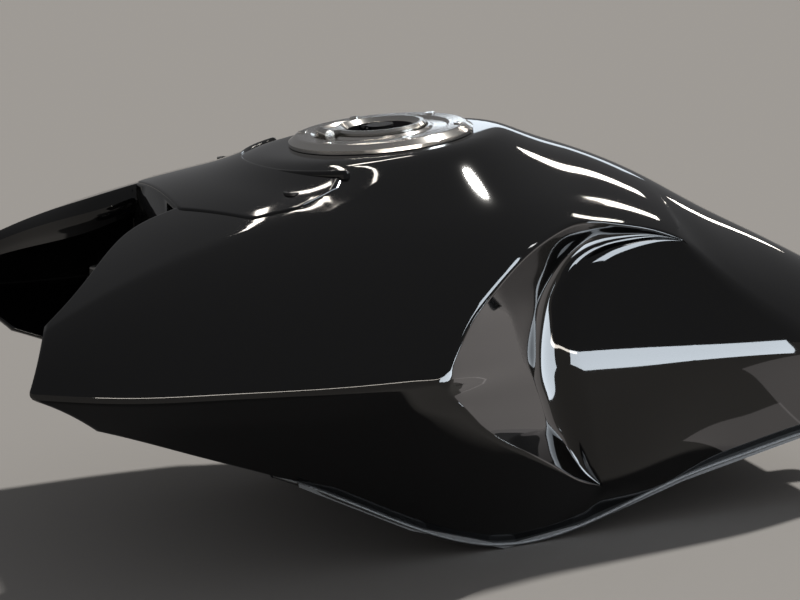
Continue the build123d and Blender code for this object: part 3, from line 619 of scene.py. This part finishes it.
def upper_lines(ends, n_wall):
    """Points of each line: the crown part, which the wings lack, and the side part, as two arrays."""
    crown_part, side_part = [], []
    for number, (x_end, z_end, x_top) in enumerate(ends):
        in_wing = number >= n_wall
        y_split = float(rail(NOTCH, "y", x_top)) if in_wing else NOTCH[0].y
        goal = skin_line(x_end, z_end)
        straight = abs(x_top - x_end) < 1e-6
        inner, outer = split(goal if straight else skin_line(x_top, WHOLE), y_split)
        if not in_wing:
            rows = np.linspace(0, lengths(inner)[-1], ROWS_CROWN)
            crown_part.append(in_space(x_end if straight else x_top, resample(inner, rows)))
        rows = stations(lengths(outer)[-1], SIDE_ENDS, ROWS_SIDE)
        if straight:
            side_part.append(in_space(x_end, resample(outer, rows)))
        else:
            goal = split(goal, min(y_split, goal[-1, 0]))[1]
            rows = rows / lengths(outer)[-1]
            side_part.append(leaning(x_top, x_end, outer, goal, rows, lambda x: skin_line(x, WHOLE)))
    return np.array(crown_part), np.array(side_part)


def nearest(line, point):
    """Nearest place to a point on a polyline."""
    a = line[:-1]
    ab = line[1:] - a
    t = np.clip(((point - a) * ab).sum(1) / np.maximum((ab * ab).sum(1), 1e-12), 0, 1)
    places = a + t[:, None] * ab
    return places[np.argmin(((places - point) ** 2).sum(1))]


ROWS_VALLEY = 14
ROWS_BAND = 4
ROWS_RIM = 12
EDGE_ROUND = 3.4
RIM_ROUND = 6.0
VALLEY_ROUND = 16.0

# Where the scoop narrows, its roundings take up no more than these shares of their two sides.
RIM_SHARE = 0.45
WALL_SHARE = 0.6
BAND_SHARE = 0.55
BAND_END_SHARE = 0.4
LEAST_STEP = 0.3


def toward(start, end, distance):
    """Point at a distance from start on the way to end."""
    run = end - start
    return start + run * (distance / max(np.linalg.norm(run), 1e-9))


EDGE_EVEN = 5.0
EDGE_EVEN_REACH = 9.0


def evened(line, spread):
    """The line with each point averaged with its neighbours over about that distance, its ends kept."""
    s = lengths(line)
    width = np.minimum(spread, np.minimum(s, s[-1] - s) / END_NARROWING) + 1e-3
    weight = np.exp(-0.5 * ((s[None, :] - s[:, None]) / width[:, None]) ** 2)
    return (weight / weight.sum(1, keepdims=True)) @ line


def steps(count):
    """Even shares up to 1 without the first, which is 0, as a column."""
    return np.linspace(0, 1, count + 1)[1:, None]


def scoop_lines(q, edge_points):
    """Lines from the scoop's edge down its wall, round its valley and up a rounded step onto the pad."""
    out = []
    for place, edge, even in zip(q, edge_points, evened(edge_points, EDGE_EVEN)):
        valley = np.array(scoop_values(place, "valley_x", "valley_y", "valley_z"))
        rx, rz = scoop_values(place, "rim_x", "rim_z")
        rim = np.array([rx, float(pad_y(rx, rz)), rz])
        step = np.array([rx - valley[0], rz - valley[2]])
        wide = np.linalg.norm(step)
        if wide < LEAST_STEP:
            total = ROWS_WALL + ROWS_VALLEY + ROWS_BAND + ROWS_RIM
            out.append(edge + np.linspace(0, 1, total + 1)[:, None] * (rim - edge))
            continue
        step /= wide
        ahead = np.array([rx + step[0], 0.0, rz + step[1]])
        ahead[1] = float(pad_y(ahead[0], ahead[2]))
        rounding = min(RIM_ROUND, RIM_SHARE * wide)
        corner = toward(rim, 2 * rim - ahead, rounding)
        wall_long = np.linalg.norm(valley - even)
        band_long = np.linalg.norm(corner - valley)
        wall_end = toward(valley, even, min(VALLEY_ROUND, WALL_SHARE * wall_long))
        band_start = toward(valley, corner, min(VALLEY_ROUND, BAND_SHARE * band_long))
        band_end = toward(corner, valley, min(rounding, BAND_END_SHARE * band_long))
        rows = stations(np.linalg.norm(wall_end - even), WALL_ENDS, ROWS_WALL)
        wall = resample(np.array([even, wall_end]), rows)
        wall += (edge - even) * (1 - smooth(rows / min(EDGE_EVEN_REACH, rows[-1])))[:, None]
        out.append(np.concatenate([
            wall,
            bezier(wall_end, valley, band_start, steps(ROWS_VALLEY)),
            band_start + steps(ROWS_BAND) * (band_end - band_start),
            bezier(band_end, corner, rim, steps(ROWS_RIM)),
        ]))
    return np.array(out)


def flank_lines(ends):
    """Lines of the skin below the belt and the scoop's edge, down to the foot."""
    out = []
    for x_top, z_top, x_foot in ends:
        first = flank_line(x_top, z_top)
        rows = stations(lengths(first)[-1], FLANK_ENDS, ROWS_FLANK) / lengths(first)[-1]
        if abs(x_foot - x_top) < 1e-6:
            out.append(in_space(x_top, at_shares(first, rows)))
            continue
        last = flank_line(x_foot, min(z_top, skin_at("belt_z", x_foot)))
        out.append(leaning(x_top, x_foot, first, last, rows, lambda x: flank_line(x, skin_at("belt_z", x))))
    return np.array(out)


def pad_patch(top, front, left_rows):
    """The knee pad's face between the tips, filled in from its four sides."""
    x0 = top[0, 0]
    left_z = top[0, 2] + (skin_at("foot_z", x0) - top[0, 2]) * left_rows
    left = np.stack([np.full(len(left_z), x0), left_z], 1)
    right = front[:, (0, 2)]
    bottom_x = x0 + (front[-1, 0] - x0) * shares_of(top)
    bottom = np.stack([bottom_x, rail(SKIN, "foot_z", bottom_x)], 1)
    upper = top[:, (0, 2)]
    u = shares_of(top)[:, None, None]
    v = ((1 - u[:, :, 0]) * shares_of(left) + u[:, :, 0] * shares_of(right))[:, :, None]
    flat = ((1 - u) * left[None] + u * right[None] + (1 - v) * upper[:, None] + v * bottom[:, None]
            - (1 - u) * (1 - v) * upper[0] - u * (1 - v) * upper[-1]
            - (1 - u) * v * bottom[0] - u * v * bottom[-1])
    x, z = flat[:, :, 0], flat[:, :, 1]
    grid = np.stack([x, pad_y(x, z), z], 2)
    grid[:, 0] = top
    grid[-1] = front
    return grid


def tunnel_outline(x, floor):
    """Half outline of the tunnel's lining at x, from the middle of its roof down to the floor."""
    share = (x - TUNNEL_REAR[0]) / (TUNNEL_FRONT[0] - TUNNEL_REAR[0])
    roof = TUNNEL_REAR[1] + share * (TUNNEL_FRONT[1] - TUNNEL_REAR[1])
    turn = np.linspace(0, pi / 2, ROUND_POINTS)
    corner_y = TUNNEL_HALF - TUNNEL_CORNER * (1 - np.sin(turn))
    corner_z = roof - TUNNEL_CORNER * (1 - np.cos(turn))
    y = np.concatenate([[0], corner_y, [TUNNEL_HALF]])
    z = np.concatenate([[roof], corner_z, [floor]])
    return np.stack([np.full(len(y), x), y, np.maximum(z, floor)], 1)


def tail_ring(first, second):
    """Lines from the tail's rearmost section round its edge, the last one on the flat face."""
    run = first - second
    corner = first + run * ((first[:, :1] - TAIL_X) / -run[:, :1])
    along = np.gradient(corner[:, 1:], axis=0)
    inwards = np.stack([along[:, 1], -along[:, 0]], 1)
    inwards /= np.linalg.norm(inwards, axis=1)[:, None]
    inwards[0] = (0, -1)
    end = corner.copy()
    end[:, 1:] += TAIL_ROUND * inwards
    return np.array([bezier(first, corner, end, t) for t in np.linspace(0, 1, ROUND_POINTS)])


def grid_normals(grid):
    """Unit normals of a grid of points, pointing out of the tank's left half."""
    normal = np.cross(*np.gradient(grid, axis=(0, 1)))
    return normal / np.maximum(np.linalg.norm(normal, axis=2), 1e-9)[:, :, None]


TOP_POINTS = 30


def trimmed(line, least_y):
    """The line without its part nearer the middle than least_y, with as many points."""
    top = line[:TOP_POINTS]
    start = np.array([[np.interp(least_y, top[:, 1], top[:, k]) for k in range(3)]])
    cut = np.concatenate([start, line[line[:, 1] > least_y]])
    return resample(cut, np.linspace(0, lengths(cut)[-1], len(line)))


# The lines below the belt and the scoop's edge lean forward on their way down, and back in the wings.
FOOT_FORWARD = 26.0
FOOT_START_X = 235.0
FOOT_END_X = 400.0
FOOT_RUN = 60.0
FOOT_BACK_X = 500.0

# Roundings of the crease and the belt, and of the first lines from each tip of the scoop.
CREASE_ROUND = 7.0
BELT_MORE = 2.1
FEW_LINES = 8
UPPER_TIP_SHARE = 0.3
LOWER_TIP_SHARE = 0.2


def foot_x(x):
    """Where the line that starts at x on the belt or the scoop's edge has its foot."""
    ahead = smooth((x - FOOT_START_X) / FOOT_RUN) * (1 - smooth((x - FOOT_END_X) / FOOT_RUN))
    behind = smooth((x - FOOT_BACK_X) / (WING_BELT_X - FOOT_BACK_X))
    return x + FOOT_FORWARD * float(ahead) - (WING_BELT_X - WING_FOOT_X) * float(behind)


def tip_reaches(count, least):
    """Roundings of the scoop's edge on count lines, from a share of the full one at the tip."""
    return [EDGE_ROUND * min(1.0, least + k / FEW_LINES) for k in range(count)]


def build_tank():
    """The tank's left half: skin, tail, belly and the hollow under the wing."""
    q, corner, apex = edge_samples()
    ends, n_scoop, n_hollow, n_wall = upper_ends(q, apex)
    crown, side = upper_lines(ends, n_wall)
    n_crease = n_scoop - (apex + 1)

    low_starts = [scoop_values(place, "edge_x", "edge_z") for place in q[apex:][::-1]]
    low_starts += [(x, z) for x, z, _ in ends[n_scoop:]]
    flank = flank_lines([(x, z, foot_x(x)) for x, z in low_starts])
    n_low = len(q) - apex

    edge_points = np.concatenate([side[n_crease:n_scoop, -1], flank[:n_low - 1, 0][::-1]])
    flank[n_low - 1, 0] = edge_points[apex]
    scoop = scoop_lines(q, edge_points)
    rim = scoop[:, -1]
    front = np.concatenate([rim[corner:], flank[0][1:]])
    left_rows = np.linspace(0, 1, len(front))
    pad = pad_patch(rim[:corner + 1], front, left_rows)

    back_pad = []
    for (x, _, _), top in zip(ends, side[:n_crease, -1]):
        z = top[2] + (skin_at("foot_z", x) - top[2]) * left_rows
        back_pad.append(np.stack([np.full(len(z), x), pad_y(x, z), z], 1))
    back_pad = np.array(back_pad)
    back_pad[:, 0] = side[:n_crease, -1]

    # Rounded edges: the soft crease, the scoop's edge above and below its apex, and the belt.
    round_corner(side[:n_crease], back_pad, [CREASE_ROUND] * n_crease)
    round_corner(side[n_crease:n_scoop], scoop[:apex + 1], tip_reaches(apex + 1, UPPER_TIP_SHARE))
    round_corner(flank[:n_low - 1, ::-1], scoop[:apex:-1], tip_reaches(n_low - 1, LOWER_TIP_SHARE))
    flank[n_low - 1, 0] = scoop[apex, 0]
    belt = range(1, len(ends) - n_scoop + 1)
    reaches = [EDGE_ROUND + BELT_MORE * float(smooth(k / FEW_LINES)) for k in belt]
    round_corner(side[n_scoop:], flank[n_low:], reaches)

    shell = Patches()
    for grid in (crown, side, flank, scoop, pad, np.concatenate([back_pad, pad[:1]])):
        shell.patch(grid, flip=True)

    # Tail: the rearmost lines carried round onto a flat face with the tunnel's opening.
    ring = tail_ring(*np.concatenate([crown[:2], side[:2, 1:], back_pad[:2, 1:]], 1))
    shell.patch(ring)
    shell.fan(np.concatenate([ring[-1], tunnel_outline(TAIL_X, ring[-1, -1, 2])[::-1]])[::-1])

    # Belly behind the hollows, above the pressed pan.
    feet = np.concatenate([ring[:, -1][::-1], back_pad[:, -1], pad[:, -1], flank[1:, -1]])
    feet = feet[feet[:, 0] <= HOLLOW_X + 1e-6]
    shell.patch(np.stack([feet, feet * (1, 0, 1) + (0, TUNNEL_HALF, 0)], 1), flip=True)

    # Inside of the wings, the walls behind them, and the edges of their sheet.
    offset = n_low - n_scoop
    outer = np.concatenate([side[n_hollow - 1:], flank[n_hollow - 1 + offset:, 1:]], 1)
    inner = outer - SHEET * grid_normals(outer)
    wall = n_wall - n_hollow
    for k in range(wall + 1):
        inner[k] = trimmed(inner[k], HOLLOW_INNER_Y)
    inner[:wall + 1, :, 0] = outer[:wall + 1, :, 0]
    shell.patch(inner)
    shell.patch(np.stack([outer[:, -1], inner[:, -1]], 1), flip=True)
    shell.patch(np.stack([outer[-1], inner[-1]]), flip=True)

    lip_x = outer[wall:, 0, 0]
    lip_z = np.minimum(np.interp(lip_x, *zip(*LIP)), outer[wall:, 0, 2] - LIP_LEAST)
    low_edge = np.stack([lip_x, outer[wall:, 0, 1], lip_z], 1)
    low_back = low_edge + (0, SHEET, 0)
    shell.patch(np.stack([inner[wall:, 0], low_back, low_edge, outer[wall:, 0]], 1), flip=True)
    shell.fan([outer[-1, 0], low_edge[-1], low_back[-1], inner[-1, 0]])

    rear_z, front_z = rail(SKIN, "foot_z", np.array([HOLLOW_X, WALL_X]))
    rear_low = [[HOLLOW_X, HOLLOW_INNER_Y, inner[0, -1, 2]]]
    front_low = [[WALL_X, HOLLOW_INNER_Y, front_z]]
    shell.fan(np.concatenate([inner[0], rear_low]))
    shell.fan(np.concatenate([inner[:wall + 1, 0], front_low, rear_low])[::-1])
    front_wall = [crown[-1], inner[wall:wall + 1, 0], front_low, tunnel_outline(WALL_X, front_z)[::-1]]
    shell.fan(np.concatenate(front_wall)[::-1])
    ends_of_strip = [(HOLLOW_X, rear_z), (WALL_X, front_z)]
    shell.patch(np.array([[(x, y, z) for x, z in ends_of_strip] for y in (TUNNEL_HALF, HOLLOW_INNER_Y)]))
    return shell


HEIGHT_STEP = 3.0


def height_field(x0, x1, y1):
    """The height of the tank's top over a field in plan, as a function that reads it back smoothly."""
    xs = np.arange(x0, x1 + 2 * HEIGHT_STEP, HEIGHT_STEP)
    ys = np.arange(0, y1 + 2 * HEIGHT_STEP, HEIGHT_STEP)
    grid = np.array([np.interp(ys, *skin_line(x, WHOLE).T) for x in xs])

    def height(x, y):
        u = (np.asarray(x, float) - x0) / HEIGHT_STEP
        v = np.abs(np.asarray(y, float)) / HEIGHT_STEP
        i = np.clip(u.astype(int), 1, len(xs) - 3)
        j = np.clip(v.astype(int), 0, len(ys) - 3)
        total = np.zeros(np.broadcast(u, v).shape)
        for di, wi in enumerate(catmull(u - i)):
            for dj, wj in enumerate(catmull(v - j)):
                total += wi * wj * grid[i + di - 1, np.abs(j + dj - 1)]
        return total

    return height


def catmull(t):
    """Weights of four grid points in a row for a place t of the way between the middle two."""
    return (((-t + 2) * t - 1) * t / 2, ((3 * t - 5) * t * t + 2) / 2,
            ((-3 * t + 4) * t + 1) * t / 2, (t - 1) * t * t / 2)


# Cover in front of the filler, in plan: from a circle round the cap's axis to this outline. Its edge:
# distances from the rim, and heights there as shares of how proud the cover stands.
COVER_INNER = 92.4
COVER_OUTLINE = [(503.5, 0), (503.5, 56), (468.4, 98.4), (440, 99.4), (407.8, 87.4)]
COVER_PROUD = 1.1
COVER_EDGE = np.array([(0.0, -1.0), (0.02, 0.2), (0.35, 0.72), (1.0, 0.95), (1.8, 1.0)])
COVER_FLAT_START = 3.2
COVER_FLAT_ROWS = 22
COVER_TURN = 0.022
COVER_RIM_RADIUS = 120
COVER_RIM_EVEN = 1.6
COVER_END_RADIUS = 100.0
COVER_END_LOW = -0.5
COVER_FIELD = (390, 506, 110)


def trim_piece(name, grid, flip=False):
    """A grid of points and its mirror image as one piece of thin trim."""
    shell = Patches()
    shell.patch(np.array(grid), flip)
    return shell.finish(name, TRIM_WELD)


def cover_reach(angle):
    """Distance from the cap's axis to the cover's outline at an angle from the front."""
    ray = np.array([np.cos(angle), np.sin(angle)])
    best = 1e9
    for (ax, ay), (bx, by) in zip(COVER_OUTLINE, COVER_OUTLINE[1:]):
        a, b = np.array([ax - CAP[0], ay]), np.array([bx - CAP[0], by])
        side = b - a
        across = ray[0] * side[1] - ray[1] * side[0]
        if abs(across) < 1e-9:
            continue
        far = (a[0] * side[1] - a[1] * side[0]) / across
        share = (a[0] * ray[1] - a[1] * ray[0]) / across
        if far > 0 and -1e-6 <= share <= 1 + 1e-6:
            best = min(best, far)
    return best


def build_cover(height):
    """Trim cover in front of the filler: a thin panel over the skin with rounded edges."""
    marks = sorted({float(np.arctan2(y, x - CAP[0])) for x, y in COVER_OUTLINE})
    angles = [0.0]
    for a, b in zip(marks, marks[1:]):
        angles.extend(np.linspace(a, b, max(int((b - a) / COVER_TURN), 2) + 1)[1:])
    reach = evened(np.array([[a * COVER_RIM_RADIUS, cover_reach(a)] for a in angles]), COVER_RIM_EVEN)[:, 1]
    rim, lift = COVER_EDGE.T
    lift = np.concatenate([lift, np.ones(COVER_FLAT_ROWS), lift[::-1]])
    grid = []
    for angle, far in zip(angles, reach):
        wide = far - COVER_INNER
        flat = np.linspace(COVER_FLAT_START, wide - COVER_FLAT_START, COVER_FLAT_ROWS)
        r = COVER_INNER + np.concatenate([rim, flat, wide - rim[::-1]])
        x, y = CAP[0] + r * np.cos(angle), r * np.sin(angle)
        end = min(1.0, (marks[-1] - angle) * COVER_END_RADIUS / rim[-1])
        top = COVER_END_LOW + (1 - COVER_END_LOW) * end ** 0.5
        grid.append(np.stack([x, y, height(x, y) + np.minimum(lift, top) * COVER_PROUD], 1))
    return trim_piece("cover_panel", grid)


COLLAR_RADIUS = 94.7
COLLAR_HALF = 2.4
COLLAR_FOOT = 1.5
COLLAR_DROP = 9.5
COLLAR_DEEP = 15.0
COLLAR_END = 58.0
COLLAR_POINTS = 13
COLLAR_LINES = 80


def build_collar():
    """Raised rim round the front of the filler's boss, with rounded ends, on the cap's own plane."""
    turn = np.linspace(-pi / 2, pi / 2, COLLAR_POINTS)
    bead = [(COLLAR_HALF * np.sin(a), COLLAR_HALF * (np.cos(a) - 1)) for a in turn]
    feet = [(-COLLAR_HALF, -COLLAR_DEEP), (COLLAR_HALF + COLLAR_FOOT, -COLLAR_DEEP)]
    profile = np.array([feet[0], *bead, feet[1]])
    end = radians(COLLAR_END)
    level, fall = cos(CAP_TILT), tan(CAP_TILT) * cos(CAP_TILT)
    tilt = np.array([[level, 0, fall], [0, 1, 0], [-fall, 0, level]])
    grid = []
    for angle in np.linspace(0, end, COLLAR_LINES):
        left = (end - angle) * COLLAR_RADIUS
        slim = np.sqrt(max(1 - (1 - min(left / COLLAR_HALF, 1.0)) ** 2, 0.0))
        r = COLLAR_RADIUS + profile[:, 0] * slim
        z = profile[:, 1] * np.where(profile[:, 1] > -COLLAR_HALF, slim, 1) - COLLAR_HALF * (1 - slim)
        flat = np.stack([r * np.cos(angle), r * np.sin(angle), z - COLLAR_DROP], 1)
        grid.append(flat @ tilt.T + CAP)
    return trim_piece("cover_collar", grid, flip=True)


LIP_OUT = 5.4
LIP_THICK = 3.4
LIP_START_X = 19.0
LIP_END_X = 466.0
LIP_STEP = 3.0
LIP_ROOT = -7.0
LIP_ROOT_TOP = 1.9
LIP_ROOT_LOW = -1.6
LIP_TAPER = 40.0
LIP_TUCK = 6.0


def build_lip():
    """Weld flange that stands out along the tank's lower edge, rounded at its rim."""
    turn = np.linspace(-pi / 2, pi / 2, ROUND_POINTS)
    half = LIP_THICK / 2
    edge = [(LIP_OUT - half + half * np.cos(a), -half * np.sin(a)) for a in turn]
    profile = [(LIP_ROOT, LIP_ROOT_TOP), *edge, (LIP_ROOT, LIP_ROOT_LOW)]
    grid = []
    for x in spaced(LIP_START_X, LIP_END_X, LIP_STEP):
        y, z = skin_at("foot_y", x), skin_at("foot_z", x)
        end = min(1.0, (LIP_END_X - x) / LIP_TAPER)
        grid.append([(x, y + d - LIP_TUCK * (1 - end), z + h) for d, h in profile])
    return trim_piece("weld_lip", grid)


Finish = namedtuple("Finish", "colour rough metal bump shine", defaults=(0.0, None, 0.5))
FINISHES = {
    "gloss_paint": Finish((0.0045, 0.0045, 0.005), 0.035),
    "gloss_cover": Finish((0.0045, 0.0045, 0.005), 0.04),
    "satin_paint": Finish((0.012, 0.012, 0.0125), 0.55),
    "ring_alloy": Finish((0.62, 0.6, 0.57), 0.15, 1.0, "turned"),
    "lid_alloy": Finish((0.5, 0.49, 0.47), 0.18, 1.0, "turned"),
    "flap_alloy": Finish((0.012, 0.012, 0.013), 0.45, 0.0, "cast", 0.15),
    "barrel_steel": Finish((0.55, 0.54, 0.52), 0.3, 1.0, "turned"),
    "ring_bolt_steel": Finish((0.75, 0.74, 0.72), 0.16, 1.0),
    "black_steel": Finish((0.03, 0.03, 0.032), 0.4, 0.6, "cast"),
    "pin_steel": Finish((0.6, 0.6, 0.6), 0.25, 1.0),
    "zinc_steel": Finish((0.55, 0.55, 0.53), 0.36, 1.0, "cast"),
    "seal_rubber": Finish((0.02, 0.02, 0.02), 0.7, 0.0, "cast"),
    "mount_rubber": Finish((0.02, 0.02, 0.02), 0.75, 0.0, "cast"),
    "pump_plastic": Finish((0.04, 0.04, 0.042), 0.5, 0.0, "cast"),
    "plug_plastic": Finish((0.12, 0.12, 0.125), 0.45, 0.0, "cast"),
}
FINISHED_NODES = {
    "gloss_paint": "tank_shell",
    "gloss_cover": "front_cover",
    "satin_paint": "belly_pan rear_bracket front_lug_left front_lug_right",
    "ring_alloy": "filler_ring",
    "lid_alloy": "filler_lid",
    "flap_alloy": "key_flap",
    "barrel_steel": "lock_barrel",
    "ring_bolt_steel": "ring_bolts",
    "black_steel": "cover_screws",
    "pin_steel": "hinge_pin flap_pin",
    "zinc_steel": "filler_neck lid_latch pump_bolts vent_stub overflow_stub "
                  "rear_sleeve front_sleeve_left front_sleeve_right",
    "seal_rubber": "lid_seal",
    "mount_rubber": "rear_grommet front_grommet_left front_grommet_right",
    "pump_plastic": "pump_flange",
    "plug_plastic": "pump_connector fuel_outlet",
}

# Fine relief of the turned and the cast finishes.
TURNED_TEXTURE = {"Scale": 700.0, "Distortion": 0.6}
TURNED_BUMP = {"Strength": 0.12, "Distance": 0.0002}
CAST_TEXTURE = {"Scale": 900.0, "Detail": 3.0}
CAST_BUMP = {"Strength": 0.2, "Distance": 0.0004}

# Dark middle of the filler lid, out to a reach from the cap's axis, in metres.
MIDDLE_REACH = 0.0226
MIDDLE_EDGE = 0.0004
MIDDLE_BLACK = (0.008, 0.008, 0.009)


def set_inputs(node, values):
    for name, value in values.items():
        node.inputs[name].default_value = value


def make_material(name, finish):
    """A finish with fine relief: rings round the cap's axis where turned, small grain where cast."""
    material = bpy.data.materials.new(name)
    material.use_nodes = True
    nodes, links = material.node_tree.nodes, material.node_tree.links
    shader = nodes["Principled BSDF"]
    set_inputs(shader, {"Base Color": (*finish.colour, 1), "Roughness": finish.rough,
                        "Metallic": finish.metal, "Specular IOR Level": finish.shine})
    if finish.bump is None:
        return material
    place = nodes.new("ShaderNodeTexCoord").outputs["Object"]
    bump = nodes.new("ShaderNodeBump")
    if finish.bump == "turned":
        shift = nodes.new("ShaderNodeVectorMath")
        shift.operation = "SUBTRACT"
        shift.inputs[1].default_value = (CAP[0] * MM, 0, CAP[2] * MM)
        links.new(place, shift.inputs[0])
        place = shift.outputs[0]
        texture = nodes.new("ShaderNodeTexWave")
        texture.wave_type = "RINGS"
        texture.rings_direction = "Z"
        set_inputs(texture, TURNED_TEXTURE)
        set_inputs(bump, TURNED_BUMP)
    else:
        texture = nodes.new("ShaderNodeTexNoise")
        set_inputs(texture, CAST_TEXTURE)
        set_inputs(bump, CAST_BUMP)
    links.new(place, texture.inputs["Vector"])
    links.new(texture.outputs["Fac"], bump.inputs["Height"])
    links.new(bump.outputs["Normal"], shader.inputs["Normal"])
    return material


def blacken_middle(material):
    """Matt black in place of the turned metal, in the middle of the filler lid."""
    nodes, links = material.node_tree.nodes, material.node_tree.links
    shader = nodes["Principled BSDF"]
    away = nodes.new("ShaderNodeVectorMath")
    away.operation = "LENGTH"
    links.new(nodes["Wave Texture"].inputs["Vector"].links[0].from_socket, away.inputs[0])
    outside = nodes.new("ShaderNodeMapRange")
    set_inputs(outside, {"From Min": MIDDLE_REACH - MIDDLE_EDGE, "From Max": MIDDLE_REACH})
    links.new(away.outputs["Value"], outside.inputs["Value"])
    mix = nodes.new("ShaderNodeMixRGB")
    set_inputs(mix, {"Color1": (*MIDDLE_BLACK, 1), "Color2": shader.inputs["Base Color"].default_value})
    links.new(outside.outputs["Result"], mix.inputs["Fac"])
    links.new(mix.outputs["Color"], shader.inputs["Base Color"])
    links.new(outside.outputs["Result"], shader.inputs["Metallic"])
    shine = nodes.new("ShaderNodeMath")
    shine.operation = "MULTIPLY"
    shine.inputs[1].default_value = shader.inputs["Specular IOR Level"].default_value
    links.new(outside.outputs["Result"], shine.inputs[0])
    links.new(shine.outputs["Value"], shader.inputs["Specular IOR Level"])


Lamp = namedtuple("Lamp", "name start end target width bright colour")


def add_lamp(lamp):
    """A lamp that shows in reflections only: its long side runs from start to end, and it faces target."""
    start, end, target = Vector(lamp.start), Vector(lamp.end), Vector(lamp.target)
    middle = (start + end) / 2
    along = (end - start).normalized()
    back = middle - target
    back = (back - along * back.dot(along)).normalized()
    across = back.cross(along)
    data = bpy.data.lights.new(lamp.name, "AREA")
    data.shape = "RECTANGLE"
    data.size = (end - start).length
    data.size_y = lamp.width
    data.energy = lamp.bright * pi * data.size * lamp.width
    data.color = lamp.colour
    piece = add_object(lamp.name, data)
    piece.matrix_world = Matrix((along, across, back)).transposed().to_4x4()
    piece.location = middle
    piece.visible_camera = False
    piece.visible_diffuse = False


make_camera()
materials = {name: make_material(name, finish) for name, finish in FINISHES.items()}
blacken_middle(materials["lid_alloy"])
for name, nodes in FINISHED_NODES.items():
    for node in nodes.split():
        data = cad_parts[node].data
        data.materials.clear()
        data.materials.append(materials[name])

# Places where the welded skin is evened out, with a radius and a number of passes: the scoop's apex, its
# upper tip and its lower tip.
EVENED_SPOTS = [
    ((377.5, 198, 61), 9.0, 12),
    ((169, 94, 113), 12.0, 10),
    ((235, 106, -56), 22.0, 14),
]
tank = build_tank().finish("tank_skin", SKIN_WELD, EVENED_SPOTS)
tank.data.materials.append(materials["gloss_paint"])
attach(tank, "tank")
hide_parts("tank_shell")

cover = build_cover(height_field(*COVER_FIELD))
collar = build_collar()
lip = build_lip()
for piece, name in ((cover, "gloss_cover"), (collar, "gloss_cover"), (lip, "satin_paint")):
    piece.data.materials.append(materials[name])
    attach(piece, "tank")
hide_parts("front_cover")

FLOOR_Z = -0.0807
FLOOR_HALF = 12.0
FLOOR_FINISH = Finish((0.42, 0.405, 0.39), 0.9, 0.0, None, 0.0)
floor_mesh = bpy.data.meshes.new("floor")
corners = [(x * FLOOR_HALF, y * FLOOR_HALF, FLOOR_Z) for x, y in ((-1, -1), (1, -1), (1, 1), (-1, 1))]
floor_mesh.from_pydata(corners, [], [(0, 1, 2, 3)])
floor = add_object("floor", floor_mesh)
floor.data.materials.append(make_material("floor", FLOOR_FINISH))

# A dim room, a soft sun whose reflection is the oval blob beside the filler, and lamps placed where the
# photograph's highlights mirror them. The lamps are ceiling tubes, a strip beside the knee pad and panels.
world = bpy.data.worlds.new("world")
world.use_nodes = True
set_inputs(world.node_tree.nodes["Background"], {"Color": (0.98, 0.98, 1.0, 1), "Strength": 0.18})
bpy.context.scene.world = world

KEY_FROM = (-0.455, -0.295, 0.84)
key = bpy.data.lights.new("key", "SUN")
key.energy = 2.4
key.angle = radians(3.2)
key.color = (1.0, 0.97, 0.92)
add_object("key", key).rotation_euler = Vector(KEY_FROM).to_track_quat("Z", "Y").to_euler()

WHITE = (1, 1, 1)
WARM = (1.0, 0.93, 0.84)
PINK = (1.0, 0.93, 0.92)
COOL = (0.82, 0.91, 1.0)
LAMPS = [
    Lamp("tube_1", (-1.54, -1.69, 1.6), (-2.32, -2.29, 1.6), (0.21, 0.06, 0.15), 0.10, 24, WARM),
    Lamp("tube_2", (-1.51, -1.16, 1.6), (-2.10, -1.48, 1.6), (0.21, 0.09, 0.14), 0.09, 24, WARM),
    Lamp("tube_3", (-1.39, -0.71, 1.6), (-1.54, -0.75, 1.6), (0.24, 0.11, 0.14), 0.06, 20, WARM),
    Lamp("tube_4", (-4.13, -4.43, 1.6), (-5.30, -5.60, 1.6), (0.11, 0.04, 0.11), 0.25, 14, WARM),
    Lamp("tube_5", (0.18, -1.28, 1.6), (-0.23, -1.44, 1.6), (0.37, 0.07, 0.17), 0.05, 20, WARM),
    Lamp("tube_6", (0.19, -1.54, 1.6), (0.30, -1.03, 1.6), (0.43, 0.09, 0.16), 0.025, 20, WARM),
    Lamp("tube_7", (0.19, -1.16, 1.6), (0.15, -0.52, 1.6), (0.41, 0.10, 0.16), 0.02, 20, WARM),
    Lamp("far_panel", (-1.40, -2.05, 0.66), (-0.40, -2.40, 0.66), (0.25, 0.0, 0.18), 0.20, 2.2, COOL),
    Lamp("rear_panel", (-0.20, -0.12, -0.018), (-0.20, 0.19, -0.018), (0.09, 0.035, 0.939), 0.5, 0.68, PINK),
    Lamp("near_panel", (0.048, 0.08, -0.077), (0.048, 0.135, -0.077), (0.048, 0.11, 0.9), 0.078, 0.68, PINK),
    Lamp("pad_strip", (-0.12, 0.25, -0.012), (0.25, 0.39, -0.012), (0.20, 0.11, 0.04), 0.125, 14, COOL),
    Lamp("edge_box", (-0.24, 0.71, 0.70), (-0.43, 0.38, 0.70), (0.35, 0.17, 0.10), 0.42, 14, COOL),
    Lamp("pad_top_tube", (0.05, 0.163, 0.40), (-0.04, 0.18, 0.40), (0.21, 0.10, 0.11), 0.02, 14, WHITE),
    Lamp("belt_strip", (-0.60, 1.70, -0.03), (1.10, 1.70, -0.03), (0.40, 0.18, 0.06), 0.08, 20, WARM),
]
for lamp in LAMPS:
    add_lamp(lamp)

view = bpy.context.scene.view_settings
view.view_transform = "Standard"
